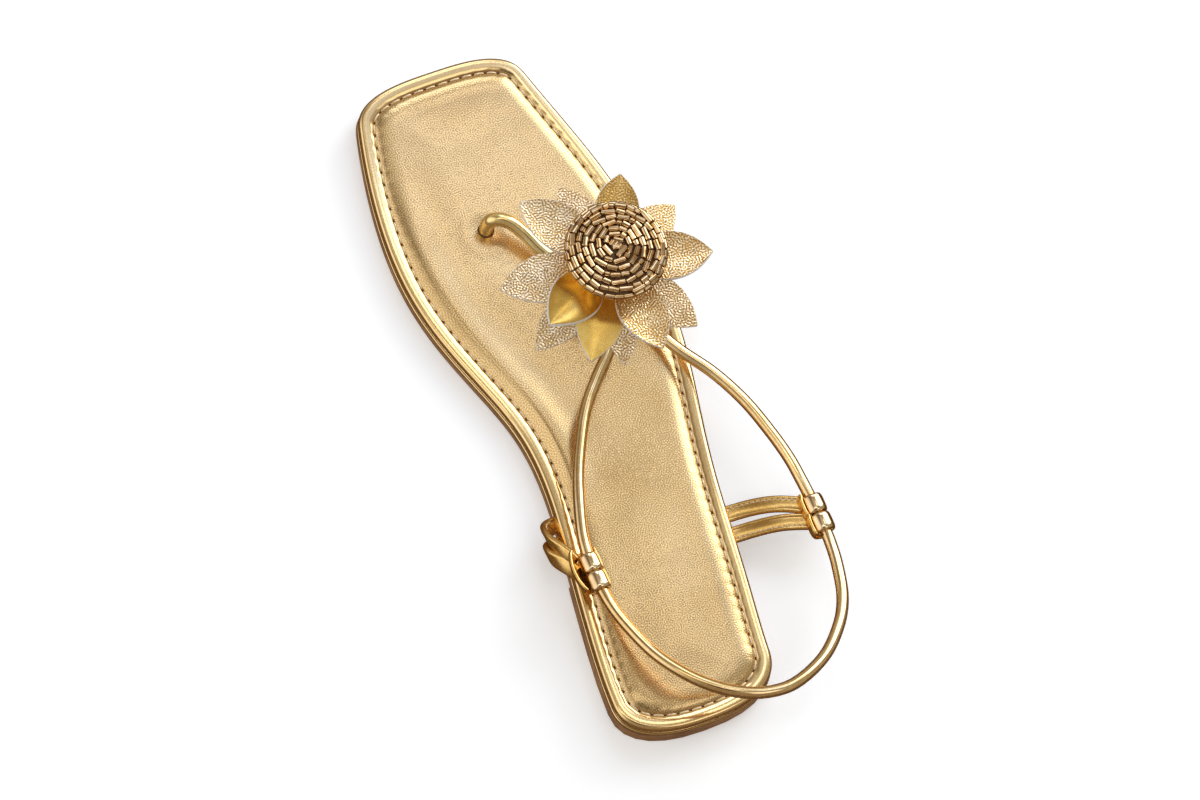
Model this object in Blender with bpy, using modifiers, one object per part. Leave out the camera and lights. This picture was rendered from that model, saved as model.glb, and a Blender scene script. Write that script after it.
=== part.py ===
"""Flat toe-post sandal, right foot, EU 38: sole layers, rolled cord, side straps, beads and flower.

Frame: metres, +Z up, +Y to the toe, +X to the outer side of the foot. The origin is on the floor
under the middle of the heel seat, on the underside of the heel lift. Sizes below are millimetres;
`new_solid` turns them into metres.
"""

import math
from collections import namedtuple

import bmesh
import bpy
import numpy as np
from mathutils import Vector

MM = 0.001
GAP = 0.3  # between pieces that touch

# ---- sole ----
SOLE_LENGTH = 252.0
HEEL_TO_ORIGIN = 30.0
HEEL_CORNER, HEEL_SQUARENESS = 16.5, 2.4
TOE_CORNER, TOE_SQUARENESS = 12.0, 3.0
CORNER_STEPS, SIDE_STEPS = 7, 20

LIFT_HEIGHT = 3.0
LIFT_LENGTH = 62.0
LIFT_BREAST_TILT = math.radians(12)
ARCH_START, BALL_START = 60.0, 130.0
TOE_SPRING_START, TOE_SPRING = 190.0, 3.2

Station = namedtuple("Station", "from_heel inner outer")
STATIONS = (
    Station(0, -28.6, 28.4),
    Station(20, -29.1, 29.5),
    Station(40, -27.7, 31.7),
    Station(60, -25.4, 33.7),
    Station(80, -22.9, 35.9),
    Station(100, -21.3, 39.3),
    Station(120, -23.0, 43.2),
    Station(140, -29.3, 45.7),
    Station(160, -36.0, 46.2),
    Station(180, -39.9, 45.3),
    Station(200, -40.3, 41.6),
    Station(220, -38.2, 35.6),
    Station(240, -34.2, 28.9),
    Station(252, -31.0, 25.1),
)

# A layer's rings, from the middle of its underside round the edge to the middle of its top:
# how far inside the sole's outline, and how far above the outsole's underside.
Ring = namedtuple("Ring", "inset height")
LIFT_RINGS = (Ring(0.3, 0.0), Ring(-0.3, 0.4), Ring(-0.3, LIFT_HEIGHT - 0.2), Ring(0.0, LIFT_HEIGHT))
OUTSOLE_RINGS = (Ring(0.4, 0.0), Ring(-0.3, 0.5), Ring(-0.25, 2.3), Ring(0.2, 2.7))
MIDSOLE_RINGS = (
    Ring(1.0, 3.0),
    Ring(0.25, 3.3),
    Ring(0.1, 3.9),
    Ring(0.5, 4.35),
    Ring(0.1, 4.8),
    Ring(0.25, 5.5),
    Ring(1.0, 5.8),
)
FOOTBED_RINGS = (
    Ring(1.1, 6.1),
    Ring(0.3, 6.4),
    Ring(0.0, 7.2),
    Ring(0.3, 8.2),
    Ring(1.2, 8.95),
    Ring(2.5, 9.2),
    Ring(3.8, 9.05),
    Ring(4.7, 8.6),
    Ring(5.3, 8.3),
    Ring(5.9, 8.6),
    Ring(7.2, 9.25),
    Ring(9.5, 9.8),
    Ring(13.0, 10.0),
)

# ---- cord ----
CORD_RADIUS = 2.15
POST_RADIUS = 2.5
TUBE_SIDES_SETTING = 3  # bevel_resolution: ten sides
CORD_STEP = 7.0
POST_STEP = 4.0
LOOP_ROUTE = (  # from under the flower, along the inner side, round the heel, back up the outer side
    (25.0, 123.5, 15.6),
    (22.0, 114.0, 15.2),
    (16.8, 104.6, 15.0),
    (8.6, 96.0, 15.5),
    (0.3, 86.0, 16.5),
    (-7.6, 72.0, 18.0),
    (-12.0, 62.4, 19.0),
    (-15.6, 52.4, 20.0),
    (-18.3, 43.0, 20.6),
    (-19.4, 34.4, 21.0),
    (-19.5, 26.5, 21.5),
    (-18.9, 18.0, 22.4),
    (-17.0, 8.6, 24.2),
    (-12.6, -4.5, 27.0),
    (-6.5, -14.8, 29.0),
    (0.6, -22.7, 30.2),
    (8.7, -28.4, 30.5),
    (18.0, -31.8, 30.0),
    (28.9, -31.8, 28.5),
    (42.3, -25.8, 25.0),
    (52.3, -16.4, 21.5),
    (58.2, -6.8, 18.8),
    (61.5, 5.0, 16.5),
    (62.8, 14.0, 14.8),
    (63.0, 21.3, 14.0),
    (62.9, 29.5, 13.7),
    (62.2, 38.5, 13.7),
    (61.2, 47.0, 14.0),
    (58.7, 57.6, 14.5),
    (54.3, 71.4, 15.0),
    (47.9, 84.5, 15.2),
    (39.9, 96.2, 15.4),
    (34.4, 106.5, 15.5),
    (31.6, 115.0, 15.6),
    (30.6, 123.5, 15.6),
)
POST_ROUTE = (  # up from the sole, over in a hook and back under the flower
    (-6.0, 161.2, 3.9),
    (-6.0, 161.2, 10.5),
    (-5.9, 161.3, 15.0),
    (-4.6, 161.4, 18.3),
    (-1.9, 160.3, 19.8),
    (1.5, 157.3, 19.6),
    (4.6, 152.4, 18.5),
    (7.4, 146.6, 17.3),
    (12.0, 140.2, 16.4),
    (19.0, 134.0, 15.9),
    (26.0, 129.5, 15.7),
)
POST_FOOT = Vector(POST_ROUTE[0])
KNOT_CENTRE = Vector((27.6, 126.5, 15.6))
KNOT_RADII = (7.0, 6.5, 2.7)

# ---- beads ----
BEAD_LENGTH = 6.7
BEAD_RADIUS = 3.9
BEAD_BORE = CORD_RADIUS + 0.4
BEAD_SIDES = 16
BEAD_PROFILE = (  # radius, height: down the outside, then up the bore
    (3.2, 3.35),
    (3.7, 2.75),
    (BEAD_RADIUS, 1.15),
    (BEAD_RADIUS, -1.15),
    (3.7, -2.75),
    (3.2, -3.35),
    (BEAD_BORE, -3.35),
    (BEAD_BORE, 3.35),
)
# The bead middles, and how far the cuff starts ahead of the front one and ends past the rear one.
Pair = namedtuple("Pair", "side front rear cuff_ahead cuff_past")
BEAD_PAIRS = (
    Pair("inner", Vector((-19.42, 33.2, 21.0)), Vector((-19.45, 26.2, 21.5)), 6.0, 1.6),
    Pair("outer", Vector((62.92, 28.5, 13.7)), Vector((62.98, 21.4, 14.0)), 4.4, 3.2),
)

# ---- side straps ----
BAND_WIDTH = 5.8
BAND_THICKNESS = 1.9
CUFF_WALL = 1.2
CUFF_STEPS = 8
SLOT_CLEARANCE = 0.35
# A leg's sections, from inside the sole to the cuff: the middle, and the way its inner face looks.
Section = namedtuple("Section", "x y z face_x face_y face_z")
INNER_FRONT_LEG = (
    Section(-20.0, 54.2, 6.5, 0, 0, 1),
    Section(-23.2, 54.1, 6.6, 0.1, 0, 1),
    Section(-25.8, 53.7, 7.6, 0.6, -0.1, 0.8),
    Section(-27.3, 51.8, 10.6, 1, -0.2, 0.1),
    Section(-28.0, 48.0, 13.5, 0.9, -0.35, -0.3),
    Section(-27.0, 43.8, 16.0, 0.8, -0.35, -0.55),
    Section(-24.9, 39.3, 18.0, 0.8, -0.3, -0.55),
    Section(-23.7, 36.0, 18.8, 0.9, -0.1, -0.4),
)
INNER_REAR_LEG = (
    Section(-20.6, 46.9, 6.9, 0, 0, 1),
    Section(-24.4, 46.8, 7.0, 0.1, 0, 1),
    Section(-27.6, 46.5, 7.9, 0.6, -0.1, 0.8),
    Section(-29.4, 45.2, 10.4, 1, -0.2, 0.1),
    Section(-29.4, 42.0, 12.8, 0.9, -0.35, -0.35),
    Section(-27.6, 38.9, 14.8, 0.8, -0.35, -0.6),
    Section(-25.5, 35.6, 16.6, 0.8, -0.3, -0.6),
    Section(-24.2, 32.4, 17.6, 0.9, -0.1, -0.45),
)
OUTER_FRONT_LEG = (
    Section(31.9, 37.4, 7.5, 0, 0, 1),
    Section(36.5, 37.1, 7.7, 0, 0, 1),
    Section(41.8, 36.5, 8.9, -0.2, 0, 1),
    Section(47.8, 35.1, 10.8, -0.25, 0, 1),
    Section(53.1, 33.1, 12.2, -0.2, 0, 1),
    Section(59.4, 30.0, 13.0, -0.2, 0, 1),
)
OUTER_REAR_LEG = (
    Section(31.0, 29.6, 7.5, 0, 0, 1),
    Section(35.6, 29.4, 7.7, 0, 0, 1),
    Section(40.5, 28.9, 8.9, -0.2, 0, 1),
    Section(46.2, 27.9, 10.8, -0.25, 0, 1),
    Section(51.8, 26.5, 12.2, -0.2, 0, 1),
    Section(59.3, 23.8, 13.0, -0.2, 0, 1),
)
# A cuff's wall round the bead pair: the way round in degrees (0 outward, 90 up), the inner radius,
# and how far the wall bulges away from the beads along the cuff.
Wall = namedtuple("Wall", "angle radius bulge")
INNER_CUFF = (
    Wall(-36, 4.25, 0.0),
    Wall(-62, 4.25, 0.0),
    Wall(-88, 4.25, 0.1),
    Wall(-115, 4.3, 0.4),
    Wall(-142, 4.5, 0.9),
    Wall(-170, 4.6, 1.4),
    Wall(-197, 4.6, 1.9),
)
OUTER_CUFF = (
    Wall(-56, 4.25, 0.0),
    Wall(-80, 4.25, 0.0),
    Wall(-104, 4.25, 0.0),
    Wall(-128, 4.25, 0.05),
    Wall(-152, 4.25, 0.1),
    Wall(-180, 4.25, 0.2),
    Wall(-210, 4.25, 0.3),
)

# ---- flower ----
FLOWER_X, FLOWER_Y = 28.3, 132.1
PETAL_ROOT = 8.0
PETAL_THICKNESS = 0.9
PETAL_ROOT_WIDTH = 0.4  # share of the full width
PETAL_TIP_WIDTH = 0.7
PETAL_WIDEST = 0.45
PETAL_STEPS_ALONG, PETAL_STEPS_ACROSS = 6, 4
BACK_LEVEL, LOW_LEVEL, MID_LEVEL, HIGH_LEVEL = 18.9, 20.3, 22.1, 23.0
Petal = namedtuple("Petal", "name angle reach width level rise cupping")
PETALS = (
    Petal("petal_front_1", 63, 32.5, 15.5, LOW_LEVEL, 1.5, 1.5),
    Petal("petal_front_2", 126, 38.0, 17.0, MID_LEVEL, 0.6, 0.8),
    Petal("petal_front_3", 174, 40.0, 18.0, LOW_LEVEL, -0.6, 0.4),
    Petal("petal_front_4", 206, 32.5, 17.5, HIGH_LEVEL, -0.5, 2.2),
    Petal("petal_front_5", 237, 36.5, 16.5, LOW_LEVEL, -0.6, 0.6),
    Petal("petal_front_6", 278, 35.5, 17.0, HIGH_LEVEL, -1.5, 1.2),
    Petal("petal_front_7", 347, 35.5, 17.5, LOW_LEVEL, 0.8, 1.5),
    Petal("petal_back_1", 101, 33.0, 14.0, BACK_LEVEL, -1.0, 0.0),
    Petal("petal_back_2", 209, 41.0, 15.0, BACK_LEVEL, -1.2, 0.0),
    Petal("petal_back_3", 256, 36.5, 12.0, BACK_LEVEL, -1.2, 0.0),
    Petal("petal_back_4", 303, 36.5, 16.0, BACK_LEVEL, -1.0, 0.0),
    Petal("petal_back_5", 24, 31.8, 15.0, BACK_LEVEL, -0.8, 0.0),
)
CUP_BOTTOM, CUP_TOP = 24.6, 33.2
CUP_FOOT_RADIUS, CUP_RIM_RADIUS = 12.6, 16.9
CUP_WALL = 1.2
STEM_RADIUS = 4.4
STEM_BOTTOM = 18.7
CUP_SIDES = 32
SLIT_COUNT = 16
SLIT_WIDTH, SLIT_LENGTH = 0.8, 5.6
DISC_BOTTOM, DISC_TOP = 33.5, 35.4
DISC_RADIUS = 17.2
DISC_RIDGES = 7
DISC_RIDGE_HEIGHT = 0.45
DISC_SIDES = 28

GOLD = ("gold_leather", (0.72, 0.50, 0.22), 0.32, 0.85)
PALE_GOLD = ("pale_gold_metal", (0.60, 0.45, 0.24), 0.2, 1.0)
BROWN = ("brown_edge", (0.25, 0.12, 0.045), 0.55, 0.0)
AMBER = ("amber_leather", (0.62, 0.36, 0.08), 0.4, 0.8)
CRACKLE = ("crackle_leather", (0.66, 0.52, 0.33), 0.5, 0.6)
DARK = ("bead_ground", (0.16, 0.09, 0.04), 0.6, 0.3)


# ---------------------------------------------------------------- scene and helpers

def clear_scene():
    for obj in list(bpy.data.objects):
        bpy.data.objects.remove(obj, do_unlink=True)


def new_collection(name):
    collection = bpy.data.collections.new(name)
    bpy.context.scene.collection.children.link(collection)
    return collection


def material(spec):
    """Return the material of a (name, colour, roughness, metallic) row, made once."""
    name, colour, roughness, metallic = spec
    found = bpy.data.materials.get(name)
    if found:
        return found
    made = bpy.data.materials.new(name)
    made.use_nodes = True
    shader = made.node_tree.nodes["Principled BSDF"]
    shader.inputs["Base Color"].default_value = (*colour, 1.0)
    shader.inputs["Roughness"].default_value = roughness
    shader.inputs["Metallic"].default_value = metallic
    return made


def add_object(name, mesh, collection, look=None):
    obj = bpy.data.objects.new(name, mesh)
    collection.objects.link(obj)
    if look:
        mesh.materials.clear()
        mesh.materials.append(material(look))
        mesh.shade_smooth()
        mesh.set_sharp_from_angle(angle=math.radians(40))
    else:
        obj.hide_render = True
        obj.display_type = "WIRE"
    return obj


def new_solid(name, points, faces, collection, look=None):
    """Make a closed mesh from points in millimetres, with its faces turned outward."""
    mesh = bpy.data.meshes.new(name)
    mesh.from_pydata([[c * MM for c in p] for p in points], [], faces)
    work = bmesh.new()
    work.from_mesh(mesh)
    bmesh.ops.recalc_face_normals(work, faces=work.faces)
    work.to_mesh(mesh)
    work.free()
    return add_object(name, mesh, collection, look)


def boolean(obj, tool, operation):
    modifier = obj.modifiers.new(f"{operation.lower()}_{tool.name}", "BOOLEAN")
    modifier.operation = operation
    modifier.solver = "EXACT"
    modifier.object = tool


def box(name, size, centre, collection):
    """Make a box cutter from sizes in millimetres."""
    work = bmesh.new()
    bmesh.ops.create_cube(work, size=1.0)
    bmesh.ops.scale(work, vec=Vector(size) * MM, verts=work.verts)
    mesh = bpy.data.meshes.new(name)
    work.to_mesh(mesh)
    work.free()
    obj = add_object(name, mesh, collection)
    obj.location = Vector(centre) * MM
    return obj


def turned(name, profile, sides, closed, collection, look):
    """Turn a profile of (radius, height) rows about Z; an open one starts and ends on the axis."""
    mesh = bpy.data.meshes.new(name)
    count = len(profile)
    edges = [(i, i + 1) for i in range(count - 1)]
    if closed:
        edges.append((count - 1, 0))
    mesh.from_pydata([(r * MM, 0.0, z * MM) for r, z in profile], edges, [])
    obj = add_object(name, mesh, collection, look)
    screw = obj.modifiers.new("turn", "SCREW")
    screw.axis = "Z"
    screw.steps = sides
    screw.render_steps = sides
    screw.use_merge_vertices = True
    screw.merge_threshold = 0.00005
    screw.use_smooth_shade = True
    return obj


def natural_spline(xs, ys):
    """Return a smooth function of x through the given points, straight beyond the last ones."""
    xs, ys = np.array(xs, float), np.array(ys, float)
    count = len(xs)
    step = np.diff(xs)
    rise = np.diff(ys) / step
    system, target = np.eye(count), np.zeros(count)
    for i in range(1, count - 1):
        system[i, i - 1:i + 2] = step[i - 1], 2 * (step[i - 1] + step[i]), step[i]
        target[i] = 6 * (rise[i] - rise[i - 1])
    bend = np.linalg.solve(system, target)

    def value(x):
        i = int(np.clip(np.searchsorted(xs, x) - 1, 0, count - 2))
        t, h = x - xs[i], step[i]
        slope = rise[i] - h * (2 * bend[i] + bend[i + 1]) / 6
        return float(ys[i] + slope * t + bend[i] * t**2 / 2 + (bend[i + 1] - bend[i]) * t**3 / (6 * h))

    return value


def smooth_route(points, step):
    """Return points about `step` apart on a smooth curve through the route's own points."""
    points = [Vector(p) for p in points]
    padded = [2 * points[0] - points[1], *points, 2 * points[-1] - points[-2]]
    route = [points[0]]
    for before, start, end, after in zip(padded, padded[1:], padded[2:], padded[3:]):
        pieces = max(1, round((end - start).length / step))
        for k in range(1, pieces + 1):
            t = k / pieces
            route.append(0.5 * (
                2 * start
                + (end - before) * t
                + (2 * before - 5 * start + 4 * end - after) * t**2
                + (3 * start - before - 3 * end + after) * t**3
            ))
    return route


def tube(name, route, radius, collection, look=None):
    """Sweep a round section along a route, and return it as a closed mesh object."""
    curve = bpy.data.curves.new(name, "CURVE")
    curve.dimensions = "3D"
    curve.bevel_depth = radius * MM
    curve.bevel_resolution = TUBE_SIDES_SETTING
    curve.use_fill_caps = True
    curve.twist_mode = "MINIMUM"
    spline = curve.splines.new("POLY")
    spline.points.add(len(route) - 1)
    for point, place in zip(spline.points, route):
        point.co = (*(place * MM), 1.0)
    guide = bpy.data.objects.new(name + "_guide", curve)
    bpy.context.scene.collection.objects.link(guide)
    bpy.context.view_layer.update()
    evaluated = guide.evaluated_get(bpy.context.evaluated_depsgraph_get())
    mesh = bpy.data.meshes.new_from_object(evaluated)
    bpy.data.objects.remove(guide, do_unlink=True)
    work = bmesh.new()
    work.from_mesh(mesh)
    bmesh.ops.remove_doubles(work, verts=work.verts, dist=0.00002)
    bmesh.ops.recalc_face_normals(work, faces=work.faces)
    work.to_mesh(mesh)
    work.free()
    return add_object(name, mesh, collection, look)


# ---------------------------------------------------------------- sole

inner_edge = natural_spline([s.from_heel for s in STATIONS], [s.inner for s in STATIONS])
outer_edge = natural_spline([s.from_heel for s in STATIONS], [s.outer for s in STATIONS])


def underside(from_heel):
    """Height of the outsole's underside: on the lift at the heel, on the floor at the ball."""
    fall = min(max((from_heel - ARCH_START) / (BALL_START - ARCH_START), 0.0), 1.0)
    heel = (LIFT_HEIGHT + GAP) * (1 - fall * fall * (3 - 2 * fall))
    spring = max(from_heel - TOE_SPRING_START, 0.0) / (SOLE_LENGTH - TOE_SPRING_START)
    return heel + TOE_SPRING * spring**2


def edge_x(edge, from_heel, inset):
    """Place of an edge moved `inset` toward its inner side, square to its own line."""
    slope = edge(from_heel + 0.5) - edge(from_heel - 0.5)
    return edge(from_heel) + inset * math.hypot(1, slope)


def sole_rows(inset):
    """Rows (from_heel, share of the half width) from the middle of the heel to the toe's."""
    heel = max(HEEL_CORNER - 0.7 * inset, 3.0)
    toe = max(TOE_CORNER - 0.7 * inset, 3.0)
    rows = []
    for k in range(CORNER_STEPS):
        turn = math.pi / 2 * k / CORNER_STEPS
        across = math.sin(turn) ** (2 / HEEL_SQUARENESS)
        rows.append((inset + heel * (1 - math.cos(turn) ** (2 / HEEL_SQUARENESS)), across))
    side_start, side_end = inset + heel, SOLE_LENGTH - inset - toe
    for k in range(SIDE_STEPS + 1):
        rows.append((side_start + (side_end - side_start) * k / SIDE_STEPS, 1.0))
    for k in reversed(range(CORNER_STEPS)):
        turn = math.pi / 2 * k / CORNER_STEPS
        across = math.sin(turn) ** (2 / TOE_SQUARENESS)
        rows.append((SOLE_LENGTH - inset - toe * (1 - math.cos(turn) ** (2 / TOE_SQUARENESS)), across))
    return rows


def sole_ring(inset, height, base):
    """Points once round the sole: up the outer side from the heel's middle, down the inner side."""
    up, down = [], []
    for from_heel, across in sole_rows(inset):
        right = edge_x(outer_edge, from_heel, -inset)
        left = edge_x(inner_edge, from_heel, inset)
        middle, half = (right + left) / 2, (right - left) / 2 * across
        y, z = from_heel - HEEL_TO_ORIGIN, base(from_heel) + height
        up.append((middle + half, y, z))
        if 0 < across:
            down.append((middle - half, y, z))
    return up + down[::-1]


def ladder(start, count):
    """Faces that close a ring by rungs from its outer side to its inner side."""
    faces = []
    for k in range(count // 2):
        rung = [start + k, start + k + 1, start + (count - k - 1) % count, start + (count - k) % count]
        faces.append(list(dict.fromkeys(rung)))
    return faces


def sole_layer(name, rings, base, collection, look):
    points, faces = [], []
    for ring in rings:
        points += sole_ring(ring.inset, ring.height, base)
    count = len(points) // len(rings)
    for r in range(len(rings) - 1):
        low, high = r * count, (r + 1) * count
        for i in range(count):
            j = (i + 1) % count
            faces.append((low + i, low + j, high + j, high + i))
    faces += ladder(0, count) + ladder((len(rings) - 1) * count, count)
    return new_solid(name, points, faces, collection, look)


def build_sole(parts, cutters):
    lift = sole_layer("heel_lift", LIFT_RINGS, lambda y: 0.0, parts, BROWN)
    keep = box("lift_keep", (120, LIFT_LENGTH + 40, 20), (0, 0, 0), cutters)
    keep.location.y = (LIFT_LENGTH - (LIFT_LENGTH + 40) / 2 - HEEL_TO_ORIGIN) * MM
    keep.rotation_euler.x = LIFT_BREAST_TILT
    boolean(lift, keep, "INTERSECT")
    sole_layer("outsole", OUTSOLE_RINGS, underside, parts, BROWN)
    midsole = sole_layer("midsole", MIDSOLE_RINGS, underside, parts, GOLD)
    footbed = sole_layer("footbed", FOOTBED_RINGS, underside, parts, GOLD)

    bore_height = 16.0
    work = bmesh.new()
    bmesh.ops.create_cone(
        work, cap_ends=True, segments=20, radius1=(POST_RADIUS + GAP) * MM,
        radius2=(POST_RADIUS + GAP) * MM, depth=bore_height * MM)
    mesh = bpy.data.meshes.new("post_bore")
    work.to_mesh(mesh)
    work.free()
    bore = add_object("post_bore", mesh, cutters)
    bore.location = (POST_FOOT.x * MM, POST_FOOT.y * MM, (POST_FOOT.z - GAP + bore_height / 2) * MM)
    boolean(midsole, bore, "DIFFERENCE")
    boolean(footbed, bore, "DIFFERENCE")

    for n, leg in enumerate((INNER_FRONT_LEG, INNER_REAR_LEG, OUTER_FRONT_LEG, OUTER_REAR_LEG), 1):
        inside = leg[0]
        outward = 1 if inside.x > 0 else -1
        reach = 12.0
        size = (reach, BAND_WIDTH + 2 * SLOT_CLEARANCE, BAND_THICKNESS + 2 * SLOT_CLEARANCE + 1.0)
        centre = (inside.x + outward * (reach / 2 - GAP), inside.y, inside.z - 0.5)
        slot = box(f"strap_slot_{n}", size, centre, cutters)
        boolean(midsole, slot, "DIFFERENCE")


# ---------------------------------------------------------------- straps, cord and beads

def band(name, sections, collection, look=None):
    """Loft a flat strap with rounded sides through its sections."""
    half_width, half_depth = BAND_WIDTH / 2, BAND_THICKNESS / 2
    outline = (
        (half_width, 0.0),
        (half_width - 0.7, half_depth),
        (-half_width + 0.7, half_depth),
        (-half_width, 0.0),
        (-half_width + 0.7, -half_depth),
        (half_width - 0.7, -half_depth),
    )
    path = smooth_route([(s.x, s.y, s.z) for s in sections], 3.0)
    faces_on_path = smooth_route([(s.face_x, s.face_y, s.face_z) for s in sections], 10.0)
    points, faces = [], []
    for k, place in enumerate(path):
        ahead, behind = path[min(k + 1, len(path) - 1)], path[max(k - 1, 0)]
        along = (ahead - behind).normalized()
        share = k / (len(path) - 1) * (len(faces_on_path) - 1)
        low = min(int(share), len(faces_on_path) - 2)
        inner_face = faces_on_path[low].lerp(faces_on_path[low + 1], share - low)
        across = along.cross(inner_face).normalized()
        normal = across.cross(along)
        points += [tuple(place + across * u + normal * v) for u, v in outline]
    size = len(outline)
    for k in range(len(path) - 1):
        for i in range(size):
            j = (i + 1) % size
            faces.append((k * size + i, k * size + j, (k + 1) * size + j, (k + 1) * size + i))
    faces.append(tuple(range(size)))
    faces.append(tuple(range((len(path) - 1) * size, len(path) * size)))
    return new_solid(name, points, faces, collection, look)


def cuff(name, pair, walls, lobes, collection, look):
    """Wrap a bead pair from below with a leather wall, open at the top."""
    axis = (pair.rear - pair.front).normalized()
    length = (pair.rear - pair.front).length + pair.cuff_ahead + pair.cuff_past
    start = pair.front - axis * pair.cuff_ahead
    outward = Vector((1, 0, 0)) - axis * axis.x
    outward.normalize()
    up = outward.cross(axis)
    up = up if up.z > 0 else -up
    points, faces = [], []
    for extra in (0.0, CUFF_WALL):
        for k in range(CUFF_STEPS + 1):
            share = k / CUFF_STEPS
            swell = abs(math.sin(lobes * math.pi * share)) ** 0.7
            for wall in walls:
                turn = math.radians(wall.angle)
                radius = wall.radius + wall.bulge * swell + extra
                spoke = outward * math.cos(turn) + up * math.sin(turn)
                points.append(tuple(start + axis * length * share + spoke * radius))
    row, sheet = len(walls), len(walls) * (CUFF_STEPS + 1)
    for k in range(CUFF_STEPS):
        for i in range(row - 1):
            a, b = k * row + i, (k + 1) * row + i
            faces.append((a, a + 1, b + 1, b))
            faces.append((sheet + a, sheet + b, sheet + b + 1, sheet + a + 1))
        for i in (0, row - 1):
            a, b = k * row + i, (k + 1) * row + i
            faces.append((a, b, sheet + b, sheet + a))
    for k in (0, CUFF_STEPS):
        for i in range(row - 1):
            a = k * row + i
            faces.append((a, a + 1, sheet + a + 1, sheet + a))
    return new_solid(name, points, faces, collection, look)


def build_straps(parts, cutters):
    plans = (
        ("side_strap_inner", BEAD_PAIRS[0], INNER_CUFF, 1, (INNER_FRONT_LEG, INNER_REAR_LEG)),
        ("side_strap_outer", BEAD_PAIRS[1], OUTER_CUFF, 2, (OUTER_FRONT_LEG, OUTER_REAR_LEG)),
    )
    for name, pair, walls, lobes, legs in plans:
        strap = cuff(name, pair, walls, lobes, parts, GOLD)
        for end, leg in zip(("front", "rear"), legs):
            boolean(strap, band(f"{name}_{end}_leg", leg, cutters), "UNION")
        sleeve_start = pair.front + (pair.front - pair.rear).normalized() * 14
        sleeve_end = pair.rear + (pair.rear - pair.front).normalized() * 14
        sleeve = tube(f"{name}_clearance", [sleeve_start, sleeve_end], BEAD_RADIUS + GAP, cutters)
        boolean(strap, sleeve, "DIFFERENCE")


def build_cord(parts, cutters):
    cord = tube("strap_cord", smooth_route(LOOP_ROUTE, CORD_STEP), CORD_RADIUS, parts, GOLD)
    post = tube("toe_post", smooth_route(POST_ROUTE, POST_STEP), POST_RADIUS, cutters)
    work = bmesh.new()
    bmesh.ops.create_uvsphere(work, u_segments=16, v_segments=8, radius=1.0)
    bmesh.ops.scale(work, vec=Vector(KNOT_RADII) * MM, verts=work.verts)
    mesh = bpy.data.meshes.new("cord_knot")
    work.to_mesh(mesh)
    work.free()
    knot = add_object("cord_knot", mesh, cutters)
    knot.location = KNOT_CENTRE * MM
    boolean(cord, knot, "UNION")
    boolean(cord, post, "UNION")


def build_beads(parts):
    for pair in BEAD_PAIRS:
        axis = (pair.front - pair.rear).normalized()
        for end, centre in (("front", pair.front), ("rear", pair.rear)):
            name = f"bead_{pair.side}_{end}"
            bead = turned(name, BEAD_PROFILE, BEAD_SIDES, True, parts, PALE_GOLD)
            bead.location = centre * MM
            bead.rotation_mode = "QUATERNION"
            bead.rotation_quaternion = axis.to_track_quat("Z", "Y")


# ---------------------------------------------------------------- flower

def petal_half_width(petal, share):
    """Half the petal's width at a share of its length: a full belly and a pointed tip."""
    if share < PETAL_WIDEST:
        belly = math.sin(math.pi / 2 * share / PETAL_WIDEST)
        return petal.width / 2 * (PETAL_ROOT_WIDTH + (1 - PETAL_ROOT_WIDTH) * belly)
    toward_tip = (share - PETAL_WIDEST) / (1 - PETAL_WIDEST)
    return max(petal.width / 2 * (1 - toward_tip**2) ** 0.9, PETAL_TIP_WIDTH / 2)


def build_petal(petal, parts):
    points, faces = [], []
    length = petal.reach - PETAL_ROOT
    rows, columns = PETAL_STEPS_ALONG + 1, PETAL_STEPS_ACROSS + 1
    turn = math.radians(petal.angle)
    for thickness in (0.0, PETAL_THICKNESS):
        for i in range(rows):
            share = i / PETAL_STEPS_ALONG
            half = petal_half_width(petal, share)
            out = PETAL_ROOT + length * share
            curl = min(max((share - 0.15) / 0.35, 0.0), 1.0)
            for j in range(columns):
                side = 2 * j / PETAL_STEPS_ACROSS - 1
                lift = petal.rise * share**2 + petal.cupping * curl * side**2 * half / (petal.width / 2)
                x = FLOWER_X + out * math.cos(turn) - side * half * math.sin(turn)
                y = FLOWER_Y + out * math.sin(turn) + side * half * math.cos(turn)
                points.append((x, y, petal.level + lift + thickness))
    sheet = rows * columns
    for i in range(PETAL_STEPS_ALONG):
        for j in range(PETAL_STEPS_ACROSS):
            a, b = i * columns + j, (i + 1) * columns + j
            faces.append((a, a + 1, b + 1, b))
            faces.append((sheet + a, sheet + b, sheet + b + 1, sheet + a + 1))
    border = [j for j in range(columns)]
    border += [i * columns + columns - 1 for i in range(1, rows)]
    border += [(rows - 1) * columns + j for j in range(columns - 2, -1, -1)]
    border += [i * columns for i in range(rows - 2, 0, -1)]
    for a, b in zip(border, border[1:] + border[:1]):
        faces.append((a, b, sheet + b, sheet + a))
    new_solid(petal.name, points, faces, parts, CRACKLE if petal.name[-1] not in "45" else AMBER)


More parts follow.
